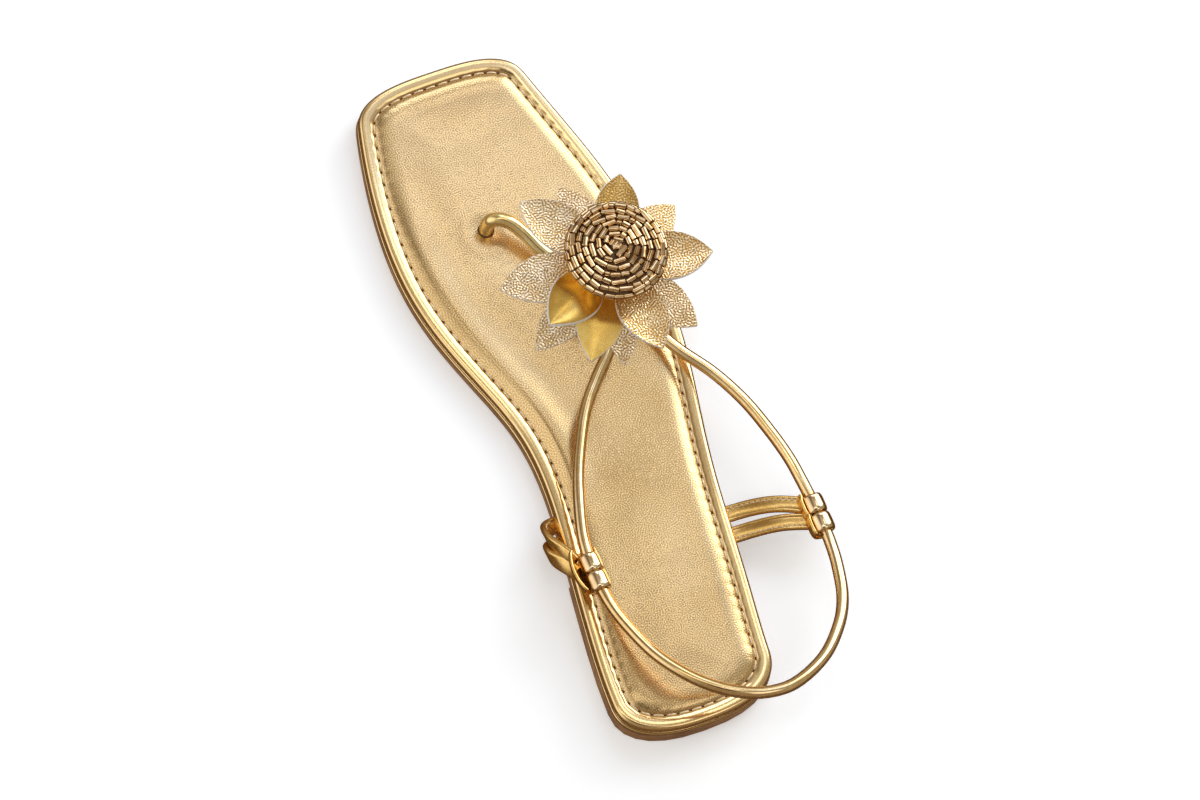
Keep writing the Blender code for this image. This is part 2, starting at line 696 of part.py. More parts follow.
def build_cup(parts, cutters):
    """The slit leather cup that carries the disc, with the stem that goes down through the petals."""
    middle = (CUP_BOTTOM + CUP_TOP) / 2
    profile = (
        (0.0, CUP_BOTTOM + CUP_WALL),
        (CUP_FOOT_RADIUS - CUP_WALL, CUP_BOTTOM + CUP_WALL),
        (14.6 - CUP_WALL, middle),
        (CUP_RIM_RADIUS - CUP_WALL, CUP_TOP),
        (CUP_RIM_RADIUS, CUP_TOP),
        (14.6, middle),
        (CUP_FOOT_RADIUS, CUP_BOTTOM),
        (STEM_RADIUS, CUP_BOTTOM),
        (STEM_RADIUS, STEM_BOTTOM),
        (0.0, STEM_BOTTOM),
    )
    cup = turned("flower_cup", profile, CUP_SIDES, False, parts, AMBER)
    cup.location = (FLOWER_X * MM, FLOWER_Y * MM, 0)
    for n in range(SLIT_COUNT):
        turn = 2 * math.pi * (n + 0.5) / SLIT_COUNT
        reach = 14.5
        centre = (FLOWER_X + reach * math.cos(turn), FLOWER_Y + reach * math.sin(turn), middle + 0.4)
        slit = box(f"cup_slit_{n + 1}", (6.0, SLIT_WIDTH, SLIT_LENGTH), centre, cutters)
        slit.rotation_euler.z = turn
        boolean(cup, slit, "DIFFERENCE")


def build_disc(parts):
    """The disc on the cup, with the ridges of its bead rows."""
    pitch = (DISC_RADIUS - 0.6) / DISC_RIDGES
    profile = [(0.0, DISC_TOP)]
    for n in range(DISC_RIDGES):
        valley = pitch * (n + 1)
        profile.append((valley - pitch / 2, DISC_TOP))
        profile.append((valley, DISC_TOP - DISC_RIDGE_HEIGHT))
    profile += [(DISC_RADIUS, DISC_TOP - 0.9), (DISC_RADIUS - 0.3, DISC_BOTTOM), (0.0, DISC_BOTTOM)]
    disc = turned("flower_disc", profile, DISC_SIDES, False, parts, DARK)
    disc.location = (FLOWER_X * MM, FLOWER_Y * MM, 0)


def main():
    clear_scene()
    parts = new_collection("toe_post_sandal")
    cutters = new_collection("cutters")
    build_sole(parts, cutters)
    build_straps(parts, cutters)
    build_cord(parts, cutters)
    build_beads(parts)
    for petal in PETALS:
        build_petal(petal, parts)
    build_cup(parts, cutters)
    build_disc(parts)


main()
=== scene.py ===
"""Looks of the flat toe-post sandal: gold leather, stitching, rolled cord, beads and flower.

Sizes are millimetres in the row frame (+Z up, +Y to the toe, +X to the outer side of the foot);
`mesh_piece` turns them into metres. The tables repeat the solids' own named sizes.
"""

import random
from collections import namedtuple
from functools import lru_cache
from math import cos, dist, exp, hypot, pi, radians, sin

import bmesh
import bpy
import numpy as np
from mathutils import Matrix, Vector, noise


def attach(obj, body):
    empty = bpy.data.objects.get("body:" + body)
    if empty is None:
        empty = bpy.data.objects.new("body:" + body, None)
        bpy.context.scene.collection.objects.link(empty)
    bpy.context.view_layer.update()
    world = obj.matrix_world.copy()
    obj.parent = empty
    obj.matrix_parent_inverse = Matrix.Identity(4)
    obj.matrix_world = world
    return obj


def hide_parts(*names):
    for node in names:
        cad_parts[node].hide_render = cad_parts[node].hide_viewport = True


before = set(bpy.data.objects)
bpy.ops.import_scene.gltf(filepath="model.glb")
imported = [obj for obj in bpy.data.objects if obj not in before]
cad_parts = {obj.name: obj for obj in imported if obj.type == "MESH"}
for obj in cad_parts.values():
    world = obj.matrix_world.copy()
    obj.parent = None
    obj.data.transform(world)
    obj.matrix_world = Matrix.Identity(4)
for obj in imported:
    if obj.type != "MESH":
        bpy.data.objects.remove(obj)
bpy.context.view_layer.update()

MM = 0.001
GAP = 0.3
UPRIGHT = Vector((0, 0, 1))
SHARP_ANGLE = radians(38)
SEAM_GROOVE_ANGLE = 0.12  # half the width of a rolled cord's seam, radians
TUBE_UV_GIRTH, LADDER_UV = 20.0, 60.0
SHEET_UV_WIDTH, SHEET_UV_LENGTH = 12.0, 20.0


def table(columns, *rows):
    """Rows whose columns have names."""
    row = namedtuple("Row", columns)
    return [row(*values) for values in rows]


# ---------------- materials
# Sizes and depths in this section are metres, as the nodes take them.

GRAIN = 0.00085  # spacing of the footbed's grain
CRACKLE = 0.001  # spacing of the ridges on the petals
FOIL_PATCHES = 0.03  # size of the foil's soft patches of tone and polish
FOIL_TINT = (0.7, 0.5, 0.28, 1)
LOOKS = {}


class Graph:
    """A node tree and short ways to add and wire its nodes."""

    def __init__(self, tree):
        self.tree = tree

    def fill(self, socket, value):
        """Wire an input from an output, or set its value."""
        if isinstance(value, bpy.types.NodeSocket):
            self.tree.links.new(value, socket)
        else:
            socket.default_value = value

    def node(self, kind, **settings):
        """Add a node; a setting fills the input of that name, or else sets a property."""
        made = self.tree.nodes.new(kind)
        for key, value in settings.items():
            title = key.replace("_", " ")
            if title in made.inputs:
                self.fill(made.inputs[title], value)
            else:
                setattr(made, key, value)
        return made

    def maths(self, operation, *values, kind="ShaderNodeMath", output="Value"):
        made = self.node(kind, operation=operation)
        for socket, value in zip(made.inputs, values):
            self.fill(socket, value)
        return made.outputs[output]

    def vectors(self, operation, *values, output="Vector"):
        return self.maths(operation, *values, kind="ShaderNodeVectorMath", output=output)

    def spread(self, value, low, high, start=0.3, end=0.7, ease="LINEAR"):
        """Take a value's range from start to end onto low to high."""
        made = self.node("ShaderNodeMapRange", interpolation_type=ease, Value=value,
                         From_Min=start, From_Max=end, To_Min=low, To_Max=high)
        return made.outputs["Result"]

    def ramp(self, value, *stops):
        """Colours at places from 0 to 1."""
        made = self.node("ShaderNodeValToRGB", Fac=value)
        elements = made.color_ramp.elements
        while len(elements) < len(stops):
            elements.new(0.5)
        for element, (place, colour) in zip(elements, stops):
            element.position = place
            element.color = (*colour, 1)
        return made.outputs["Color"]


class Shader(Graph):
    """A Principled material, kept in LOOKS under its look, and the textures that feed it."""

    def __init__(self, look, name, colour, roughness, metallic=0.0, **inputs):
        LOOKS[look] = bpy.data.materials.new(name)
        LOOKS[look].use_nodes = True
        super().__init__(LOOKS[look].node_tree)
        self.bsdf = self.tree.nodes["Principled BSDF"]
        self.normal = None
        self.surface(Base_Color=(*colour, 1), Roughness=roughness, Metallic=metallic, **inputs)

    def surface(self, **inputs):
        """Fill inputs of the shader itself."""
        for key, value in inputs.items():
            self.fill(self.bsdf.inputs[key.replace("_", " ")], value)

    def place(self, stretch=(1, 1, 1), uv=False):
        """Object or UV coordinates, scaled along each axis."""
        coords = self.node("ShaderNodeTexCoord").outputs["UV" if uv else "Object"]
        return self.node("ShaderNodeMapping", Scale=stretch, Vector=coords).outputs["Vector"]

    def noise(self, size, detail=2.0, distortion=0.0, **placing):
        """Noise whose features are about `size` across, in metres or UV units."""
        made = self.node("ShaderNodeTexNoise", Scale=1 / size, Detail=detail, Distortion=distortion,
                         Vector=self.place(**placing))
        return made.outputs["Fac"]

    def worms(self, spacing):
        """Short winding ridges about `spacing` apart, seen from above."""
        made = self.node("ShaderNodeTexGabor", Scale=0.5 / spacing, Frequency=2.0, Anisotropy=0.0,
                         Vector=self.place())
        return made.outputs["Value"]

    def blend(self, a, b, share):
        """A share of a, and the rest of b."""
        return self.maths("ADD", self.maths("MULTIPLY", a, share), self.maths("MULTIPLY", b, 1 - share))

    def mottle(self, size, detail, dark, light):
        """Colour that wanders from dark to light in patches about `size` across."""
        self.surface(Base_Color=self.ramp(self.noise(size, detail), (0.3, dark), (0.7, light)))

    def relief(self, height, depth, strength=1.0):
        """Add a layer of bump."""
        bump = self.node("ShaderNodeBump", Strength=strength, Distance=depth, Height=height)
        if self.normal is not None:
            self.fill(bump.inputs["Normal"], self.normal)
        self.normal = bump.outputs["Normal"]
        self.surface(Normal=self.normal)


FOILS = table(
    "look middle dark light roughness grain depth metallic",
    ("footbed", (0.68, 0.475, 0.225), (0.55, 0.365, 0.155), (0.84, 0.63, 0.34), 0.25, GRAIN, 0.00004, 0.92),
    ("binding", (0.88, 0.64, 0.31), (0.83, 0.59, 0.27), (0.93, 0.69, 0.36), 0.16, 0.0016, 0.00001, 0.92),
    ("cord", (0.84, 0.6, 0.29), (0.74, 0.49, 0.2), (0.92, 0.7, 0.4), 0.09, 0.003, 0.000004, 0.92),
    ("post", (1.0, 0.78, 0.36), (0.96, 0.71, 0.29), (1.0, 0.86, 0.5), 0.15, 0.002, 0.00001, 0.8),
    ("strap", (0.83, 0.53, 0.175), (0.7, 0.41, 0.105), (0.92, 0.64, 0.27), 0.25, 0.002, 0.000006, 0.92),
    ("amber", (0.9, 0.59, 0.15), (0.85, 0.52, 0.11), (0.95, 0.66, 0.2), 0.26, 0.004, 0.000003, 0.92),
)
CRACKLES = table(
    "look low middle high depth",
    ("crackle_champagne", (0.46, 0.28, 0.1), (0.67, 0.47, 0.22), (0.93, 0.82, 0.64), 0.00026),
    ("crackle_golden", (0.56, 0.3, 0.07), (0.82, 0.54, 0.21), (1.0, 0.88, 0.64), 0.00026),
    ("crackle_tan", (0.42, 0.25, 0.09), (0.64, 0.43, 0.2), (0.96, 0.82, 0.6), 0.00024),
    ("crackle_amber", (0.46, 0.25, 0.05), (0.64, 0.39, 0.11), (0.84, 0.6, 0.26), 0.00014),
)


def foil_leather(foil):
    """Metallic foil over leather: fine grain, soft patches of tone and of polish."""
    s = Shader(foil.look, f"{foil.look}_leather", foil.middle, foil.roughness, foil.metallic,
               Specular_Tint=FOIL_TINT)
    grained = foil.look == "footbed"
    fine = s.worms(foil.grain) if grained else s.noise(foil.grain, 1.0, 1.8)
    wide = s.noise(FOIL_PATCHES)
    share, reach = (0.75, 0.12) if grained else (0.45, 0.16)
    stops = (0.5 - reach, foil.dark), (0.5, foil.middle), (0.5 + reach, foil.light)
    s.surface(Base_Color=s.ramp(s.blend(fine, wide, share), *stops),
              Roughness=s.spread(wide, foil.roughness - 0.02, foil.roughness + 0.02))
    s.relief(fine, foil.depth)
    if foil.look == "strap":
        s.relief(s.noise(0.0006, 1.0, 0.3, stretch=(1, 0.05, 1), uv=True), 0.00002, 0.35)


def crackle_leather(crackle):
    """Foil pressed into a web of pale winding ridges."""
    s = Shader(crackle.look, crackle.look, crackle.middle, 0.34, 0.85)
    lines = s.worms(CRACKLE)
    stops = (0.41, crackle.low), (0.51, crackle.middle), (0.58, crackle.high)
    s.surface(Base_Color=s.ramp(s.blend(lines, s.noise(0.006), 0.8), *stops),
              Roughness=s.spread(lines, 0.4, 0.28))
    s.relief(lines, crackle.depth)


def make_materials():
    for foil in FOILS:
        foil_leather(foil)
    for crackle in CRACKLES:
        crackle_leather(crackle)

    s = Shader("raw", "raw_cut_edge", (0.84, 0.82, 0.79), 0.8)
    s.mottle(0.0009, 3.0, (0.72, 0.7, 0.67), (0.95, 0.94, 0.92))
    s.relief(s.noise(0.0004), 0.00006, 0.6)

    s = Shader("edge", "brown_edge", (0.32, 0.16, 0.065), 0.42, Coat_Weight=0.35, Coat_Roughness=0.25)
    streaks = s.noise(0.0011, 3.0, 0.4, stretch=(0.12, 0.12, 2.2))
    stops = (0.32, (0.19, 0.085, 0.03)), (0.5, (0.32, 0.16, 0.065)), (0.68, (0.46, 0.25, 0.11))
    s.surface(Base_Color=s.ramp(s.blend(streaks, s.noise(0.012), 0.6), *stops))
    s.relief(streaks, 0.00008, 0.6)

    s = Shader("thread", "thread", (0.86, 0.68, 0.38), 0.38, 0.35)
    s.mottle(0.0006, 2.0, (0.76, 0.56, 0.28), (0.98, 0.88, 0.64))
    s.relief(s.noise(0.0004, 1.0), 0.0001, 0.6)

    # Near-black brown: painted shade inside the needle holes and at the edge of the post's hole.
    s = Shader("hole", "needle_hole", (0.05, 0.022, 0.008), 0.85)
    s.mottle(0.0008, 2.0, (0.03, 0.012, 0.004), (0.09, 0.04, 0.014))

    s = Shader("bead", "bead_metal", (0.88, 0.7, 0.45), 0.09, 1.0)
    s.mottle(0.004, 2.0, (0.78, 0.56, 0.3), (0.91, 0.72, 0.46))
    s.surface(Roughness=s.spread(s.noise(0.0015, 3.0), 0.06, 0.15))
    s.relief(s.noise(0.0009), 0.00002, 0.3)

    s = Shader("bugle", "bugle_metal", (0.72, 0.49, 0.25), 0.12, 1.0)
    s.mottle(0.0045, 3.0, (0.5, 0.29, 0.11), (0.94, 0.73, 0.45))
    s.surface(Roughness=s.spread(s.noise(0.003), 0.05, 0.11))

    # Near-black brown ground: painted shade in the gaps between the bugle beads.
    s = Shader("ground", "bead_ground", (0.1, 0.05, 0.018), 0.6, 0.3)
    s.mottle(0.0015, 3.0, (0.05, 0.022, 0.008), (0.16, 0.085, 0.032))
    s.relief(s.noise(0.0006), 0.0002, 0.8)

    s = Shader("floor", "floor_white", (0.92, 0.92, 0.92), 0.9,
               Emission_Color=(1, 1, 1, 1), Emission_Strength=0.36)
    s.mottle(0.3, 2.0, (0.875, 0.915, 0.965), (0.885, 0.925, 0.975))


# ---------------- helpers


def add_object(name, data):
    """Put new data in the scene as an object."""
    made = bpy.data.objects.new(name, data)
    bpy.context.scene.collection.objects.link(made)
    return made


def mesh_piece(name, points, faces, looks, uvs=None, face_looks=None):
    """Make an object from points in millimetres, smooth but for its sharp edges."""
    mesh = bpy.data.meshes.new(name)
    mesh.from_pydata((np.array(points, float) * MM).tolist(), [], faces)
    for look in looks:
        mesh.materials.append(LOOKS[look])
    if uvs is not None:
        layer = mesh.uv_layers.new(name="UVMap")
        loops = np.zeros(len(mesh.loops), int)
        mesh.loops.foreach_get("vertex_index", loops)
        layer.data.foreach_set("uv", (np.array(uvs, np.float32)[loops] * MM).ravel())
    if face_looks is not None:
        mesh.polygons.foreach_set("material_index", np.array(face_looks, np.int32))
    work = bmesh.new()
    work.from_mesh(mesh)
    bmesh.ops.recalc_face_normals(work, faces=work.faces)
    work.to_mesh(mesh)
    work.free()
    mesh.shade_smooth()
    mesh.set_sharp_from_angle(angle=SHARP_ANGLE)
    return add_object(name, mesh)


def finish_piece(obj, nodes=()):
    """Fix a piece to the sandal's one body and hide the solids it stands for."""
    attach(obj, "root")
    if nodes:
        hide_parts(*nodes)


def show(name, parts, look, nodes=()):
    """Join (points, faces, uvs) parts of one look into a finished piece."""
    points, faces, uvs = [], [], []
    for part_points, part_faces, part_uvs in parts:
        base = len(points)
        points += part_points
        uvs += part_uvs
        faces += [tuple(base + i for i in face) for face in part_faces]
    finish_piece(mesh_piece(name, points, faces, [look], uvs), nodes)


def natural_spline(xs, ys):
    """Return a smooth function of x through the given points, straight beyond the last ones."""
    xs, ys = np.array(xs, float), np.array(ys, float)
    count = len(xs)
    step = np.diff(xs)
    rise = np.diff(ys) / step
    system, target = np.eye(count), np.zeros(count)
    for i in range(1, count - 1):
        system[i, i - 1:i + 2] = step[i - 1], 2 * (step[i - 1] + step[i]), step[i]
        target[i] = 6 * (rise[i] - rise[i - 1])
    bend = np.linalg.solve(system, target)

    def value(x):
        i = int(np.clip(np.searchsorted(xs, x) - 1, 0, count - 2))
        t, h = x - xs[i], step[i]
        slope = rise[i] - h * (2 * bend[i] + bend[i + 1]) / 6
        return float(ys[i] + slope * t + bend[i] * t**2 / 2 + (bend[i + 1] - bend[i]) * t**3 / (6 * h))

    return value


def smooth_route(points, step):
    """Points about `step` apart on a smooth curve through the route's own points."""
    points = [Vector(p) for p in points]
    padded = [2 * points[0] - points[1], *points, 2 * points[-1] - points[-2]]
    route = [points[0]]
    for before, start, end, after in zip(padded, padded[1:], padded[2:], padded[3:]):
        pieces = max(1, round((end - start).length / step))
        for k in range(1, pieces + 1):
            t = k / pieces
            route.append(0.5 * (
                2 * start
                + (end - before) * t
                + (2 * before - 5 * start + 4 * end - after) * t**2
                + (3 * start - before - 3 * end + after) * t**3
            ))
    return route


def smooth_between(value, start, end):
    t = min(max((value - start) / (end - start), 0.0), 1.0)
    return t * t * (3 - 2 * t)


def wave(x, y, z=0.0, size=1.0):
    """Smooth noise of about -1 to 1, with features `size` across."""
    return noise.noise(Vector((x / size, y / size, z / size)))


def bell(value, middle, width):
    """1 at the middle, falling away on both sides over about `width`."""
    return exp(-((value - middle) / width) ** 2)


def distances(points):
    """Distance walked along a route at each of its points."""
    walk = [0.0]
    for a, b in zip(points, points[1:]):
        walk.append(walk[-1] + dist(a, b))
    return walk


def unit(vectors):
    return vectors / (np.linalg.norm(vectors, axis=-1, keepdims=True) + 1e-12)


def turns(count):
    """Angles once round, the first not repeated."""
    return np.linspace(0, 2 * pi, count, endpoint=False)


def spoke(turn):
    """The level direction at a turn from +X."""
    return Vector((cos(turn), sin(turn), 0))


def level_side(way):
    """A level direction square to a way, and +X if the way is upright."""
    side = way.cross(UPRIGHT)
    return side.normalized() if side.length > 0.1 else Vector((1, 0, 0))


def find_step(walk, distance):
    """The step of a route that holds a distance, and how far along that step it lies, 0 to 1."""
    i = int(np.clip(np.searchsorted(walk, distance, side="right") - 1, 0, len(walk) - 2))
    return i, (distance - walk[i]) / max(walk[i + 1] - walk[i], 1e-9)


def number_rings(count, size, start=0):
    """The point numbers of `count` rings of `size` points."""
    return [range(start + k * size, start + (k + 1) * size) for k in range(count)]


def strips(rings):
    """Quads from each closed ring of point numbers to the next."""
    faces = []
    for low, high in zip(rings, rings[1:]):
        for i in range(len(low)):
            j = (i + 1) % len(low)
            faces.append((low[i], low[j], high[j], high[i]))
    return faces


def tube_faces(count, size):
    """Faces of a tube of `count` rings, closed at both ends."""
    rings = number_rings(count, size)
    return [*strips(rings), tuple(rings[0]), tuple(rings[-1])]


def sweep(route, outline, up=None):
    """Points, faces and UVs of an outline, or of one for each point, carried along a route."""
    route = [Vector(p) for p in route]
    walk = distances(route)
    points, uvs = [], []
    side = None
    for k, place in enumerate(route):
        ahead, behind = route[min(k + 1, len(route) - 1)], route[max(k - 1, 0)]
        along = (ahead - behind).normalized()
        if up is not None:
            side = along.cross(up(k / (len(route) - 1))).normalized()
        elif side is None:
            side = level_side(along)
        else:
            side = (side - along * side.dot(along)).normalized()
        normal = side.cross(along)
        ring = outline(k) if callable(outline) else outline
        points += [tuple(place + side * u + normal * v) for u, v in ring]
        uvs += [(walk[k], TUBE_UV_GIRTH * i / len(ring)) for i in range(len(ring))]
    return points, tube_faces(len(route), len(points) // len(route)), uvs


def circle(radius, sides, seam=0.0):
    """A round outline; the seam is a shallow groove at its underside."""
    outline = []
    for turn in turns(sides):
        r = radius - seam * bell(min(turn, 2 * pi - turn), 0, SEAM_GROOVE_ANGLE)
        outline.append((r * cos(turn - pi / 2), r * sin(turn - pi / 2)))
    return outline


def turned_points(profile, sides, axis, centre):
    """A closed profile (radius, height) turned about an axis through a centre."""
    axis = axis.normalized()
    side = level_side(axis)
    other = axis.cross(side)
    points = []
    for turn in turns(sides):
        out = side * cos(turn) + other * sin(turn)
        points += [tuple(centre + out * r + axis * h) for r, h in profile]
    rings = number_rings(sides, len(profile))
    return points, strips([*rings, rings[0]]), [(0.0, 0.0)] * len(points)


def other_end(end):
    """The mirror image of the (radius, height) points of a profile's end, in reverse order."""
    return [(radius, -height) for radius, height in end[::-1]]


def thick_sheet(rows, thickness, rim_steps, bulge):
    """A closed sheet from a grid of its middle points: two faces and a rounded rim.

    Returns points, faces, the index of each face's look (0 front, 1 rim, 2 back) and UVs."""
    grid = np.array(rows, float)
    along, across = np.gradient(grid, axis=(0, 1))
    normal = unit(np.cross(along, across))
    along, across = unit(along), unit(across)
    r, c, _ = grid.shape
    count = r * c
    points = [tuple(p) for face in (1, -1) for p in (grid + face * normal * thickness / 2).reshape(-1, 3)]
    faces, looks = [], []
    for i in range(r - 1):
        for j in range(c - 1):
            a, b = i * c + j, (i + 1) * c + j
            faces.append((a, b, b + 1, a + 1))
            faces.append((count + a, count + a + 1, count + b + 1, count + b))
            looks += [0, 2]
    border = [(0, j) for j in range(c)] + [(i, c - 1) for i in range(1, r)]
    border += [(r - 1, j) for j in range(c - 2, -1, -1)] + [(i, 0) for i in range(r - 2, 0, -1)]
    rings = [[i * c + j for i, j in border]]
    for k in range(1, rim_steps):
        turn = pi * k / rim_steps
        rings.append(range(len(points), len(points) + len(border)))
        for i, j in border:
            out = unit(((i == r - 1) - (i == 0)) * along[i, j] + ((j == c - 1) - (j == 0)) * across[i, j])
            lift = normal[i, j] * thickness / 2 * cos(turn)
            points.append(tuple(grid[i, j] + lift + out * bulge * sin(turn)))
    rings.append([count + i for i in rings[0]])
    rim = strips(rings)
    uvs = [(SHEET_UV_WIDTH * j / c, SHEET_UV_LENGTH * i / r) for i in range(r) for j in range(c)] * 2
    uvs += [(0.0, 0.0)] * (len(points) - len(uvs))
    return points, faces + rim, looks + [1] * len(rim), uvs


# ---------------- sole

SOLE_LENGTH = 252.0
HEEL_TO_ORIGIN = 30.0
HEEL_CORNER, HEEL_SQUARENESS = 16.5, 2.4
TOE_CORNER, TOE_SQUARENESS = 12.0, 3.0
CORNER_STEPS, SIDE_STEPS = 40, 400
LIFT_HEIGHT = 3.0
ARCH_START, BALL_START = 60.0, 130.0
TOE_SPRING_START, TOE_SPRING = 190.0, 3.2

STATIONS = table(
    "from_heel inner outer",
    (0, -28.6, 28.4),
    (20, -29.1, 29.5),
    (40, -27.7, 31.7),
    (60, -25.4, 33.7),
    (80, -22.9, 35.9),
    (100, -21.3, 39.3),
    (120, -23.0, 43.2),
    (140, -29.3, 45.7),
    (160, -36.0, 46.2),
    (180, -39.9, 45.3),
    (200, -40.3, 41.6),
    (220, -38.2, 35.6),
    (240, -34.2, 28.9),
    (252, -31.0, 25.1),
)
RING = "inset height"
OUTSOLE_RINGS = table(
    RING,
    (0.6, 0.0),
    (0.0, 0.1),
    (-0.3, 0.5),
    (-0.33, 1.0),
    (-0.3, 1.7),
    (-0.25, 2.3),
    (-0.05, 2.6),
    (0.3, 2.7),
)
BOARD_RINGS = table(
    RING,
    (1.0, 3.0),
    (0.3, 3.05),
    (-0.05, 3.4),
    (0.05, 3.9),
    (0.55, 4.2),
    (0.62, 4.4),
    (0.4, 4.55),
    (0.1, 4.8),
    (0.0, 5.2),
    (0.25, 5.6),
    (1.0, 5.8),
)
FOOTBED_RINGS = table(
    RING,
    (1.3, 6.1),
    (0.6, 6.15),
    (0.1, 6.6),
    (0.0, 7.2),
    (0.2, 8.15),
    (0.7, 8.85),
    (1.3, 9.15),
    (1.9, 9.22),
    (2.8, 9.22),
    (3.8, 9.08),
    (4.7, 8.76),
    (5.1, 8.34),
    (5.3, 8.15),
    (5.5, 8.25),
    (6.0, 8.65),
    (7.2, 9.25),
    (9.2, 9.75),
    (11.0, 9.93),
    (13.0, 10.0),
)
FOOTBED_SMOOTHING = 0.4
RIM_SIDE_INSET, RIM_SIDE_HEIGHT = 2.0, 8.0  # the rim's side lies outside and below these
BINDING_INSET, BINDING_HEIGHT = 5.0, 7.5  # past both of these the footbed's grained leather starts
CROWN, CROWN_INSET = 0.3, 30.0
SEAM_INSET, SEAM_HEIGHT = 5.3, 8.15
STITCH_PITCH, STITCH_GAP = 4.5, 0.55
THREAD_HALF_WIDTH, THREAD_HALF_HEIGHT = 0.3, 0.24
HOLE_HALF_LENGTH, HOLE_HALF_WIDTH = 0.66, 0.44
HOLE_RINGS = ((-0.6, 0.7), (0.0, 1.0), (0.1, 0.8), (0.1, 0.3))  # level, and share of the size
POST_X, POST_Y = -6.0, 161.2

inner_edge = natural_spline([s.from_heel for s in STATIONS], [s.inner for s in STATIONS])
outer_edge = natural_spline([s.from_heel for s in STATIONS], [s.outer for s in STATIONS])


def underside(from_heel):
    fall = smooth_between(from_heel, ARCH_START, BALL_START)
    spring = max(from_heel - TOE_SPRING_START, 0.0) / (SOLE_LENGTH - TOE_SPRING_START)
    return (LIFT_HEIGHT + GAP) * (1 - fall) + TOE_SPRING * spring**2


def edge_x(edge, from_heel, inset):
    slope = edge(from_heel + 0.5) - edge(from_heel - 0.5)
    return edge(from_heel) + inset * hypot(1, slope)


def corner(length, squareness):
    """Distances in from the sole's end, and the share of its half width at each."""
    rows = []
    for k in range(CORNER_STEPS):
        turn = pi / 2 * k / CORNER_STEPS
        rows.append((length * (1 - cos(turn) ** (2 / squareness)), sin(turn) ** (2 / squareness)))
    return rows


def sole_rows(inset):
    """Distances from the heel, and the share of the sole's half width at each."""
    heel = max(HEEL_CORNER - 0.7 * inset, 3.0)
    toe = max(TOE_CORNER - 0.7 * inset, 3.0)
    rows = [(inset + away, across) for away, across in corner(heel, HEEL_SQUARENESS)]
    start, end = inset + heel, SOLE_LENGTH - inset - toe
    rows += [(start + (end - start) * k / SIDE_STEPS, 1.0) for k in range(SIDE_STEPS + 1)]
    rows += [(SOLE_LENGTH - inset - away, across) for away, across in corner(toe, TOE_SQUARENESS)[::-1]]
    return rows


def sole_ring(inset, height):
    """Points once round the sole: up the outer side from the heel's middle, down the inner side."""
    up, down = [], []
    for from_heel, across in sole_rows(inset):
        right = edge_x(outer_edge, from_heel, -inset)
        left = edge_x(inner_edge, from_heel, inset)
        middle, half = (right + left) / 2, (right - left) / 2 * across
        y, z = from_heel - HEEL_TO_ORIGIN, underside(from_heel) + height
        up.append((middle + half, y, z))
        if 0 < across:
            down.append((middle - half, y, z))
    return up + down[::-1]


@lru_cache
def seam():
    """The seam's closed ring, the distance along it at each point, and its stitches' pitch."""
    ring = sole_ring(SEAM_INSET, SEAM_HEIGHT)
    ring.append(ring[0])
    walk = distances(ring)
    return ring, walk, walk[-1] / round(walk[-1] / STITCH_PITCH)


def ladder(points, uvs, ring, start, columns):
    """Close a ring with rungs from its outer side to its inner side, each in `columns` steps."""
    count = len(ring)
    rungs = []
    for k in range(count // 2 + 1):
        right, left = k, (count - k) % count
        row = [start + right]
        if right == left:
            row *= columns + 1  # the first and last rungs are single points
        else:
            a, b = Vector(ring[right]), Vector(ring[left])
            for c in range(1, columns):
                place = a.lerp(b, c / columns)
                row.append(len(points))
                points.append(tuple(place))
                uvs.append((place.y, LADDER_UV))
            row.append(start + left)
        rungs.append(row)
    faces = []
    for low, high in zip(rungs, rungs[1:]):
        for c in range(columns):
            face = (low[c], low[c + 1], high[c + 1], high[c])
            faces.append(tuple(dict.fromkeys(face)))  # a triangle beside a single point
    return faces


def sole_profile(rings, smoothing):
    return smooth_route([(r.inset, r.height, 0) for r in rings], smoothing)


def sole_layer(name, rings, looks, smoothing, shape=None, columns=1):
    """Stack rings into a closed layer; shape lifts the points of its top, and the top has the last look."""
    profile = sole_profile(rings, smoothing)
    points, uvs = [], []
    for step in profile:
        ring = sole_ring(step.x, step.y)
        uvs += [(walk, step.x) for walk in distances(ring)]
        if shape:
            _, walks, _ = seam()
            ring = [(x, y, z + shape(x, y, step.x, step.y, walk)) for (x, y, z), walk in zip(ring, walks)]
        points += ring
    count = len(ring)
    faces = strips(number_rings(len(profile), count))
    top = len(looks) - 1
    face_looks = [top * (step.x > BINDING_INSET and step.y > BINDING_HEIGHT)
                  for step in profile[1:] for i in range(count)]
    underneath = ladder(points, uvs, points[:count], start=0, columns=1)
    above = ladder(points, uvs, ring, start=(len(profile) - 1) * count, columns=columns)
    face_looks += [0] * len(underneath) + [top] * len(above)
    return mesh_piece(name, points, faces + underneath + above, looks, uvs, face_looks)


def leather_swell(x, y):
    """Broad unevenness of the padded top, the dip at the post and the raised arch."""
    from_heel = y + HEEL_TO_ORIGIN
    inside = x - inner_edge(from_heel)
    along_seam = smooth_between(from_heel, 70, 110) * (1 - smooth_between(from_heel, 180, 225))
    arch = 1.3 * bell(from_heel, 118, 30) * bell(inside, 0, 20) + 0.8 * bell(inside, 10.5, 7) * along_seam
    away = hypot(x - POST_X, y - POST_Y)
    dip = 0.1 * bell(away, 7.0, 2.6) - 0.35 * bell(away, 0, 3.8)
    return arch + dip + 0.1 * wave(x, y, 3.1, 24) + 0.05 * wave(x, y, 7.7, 9)


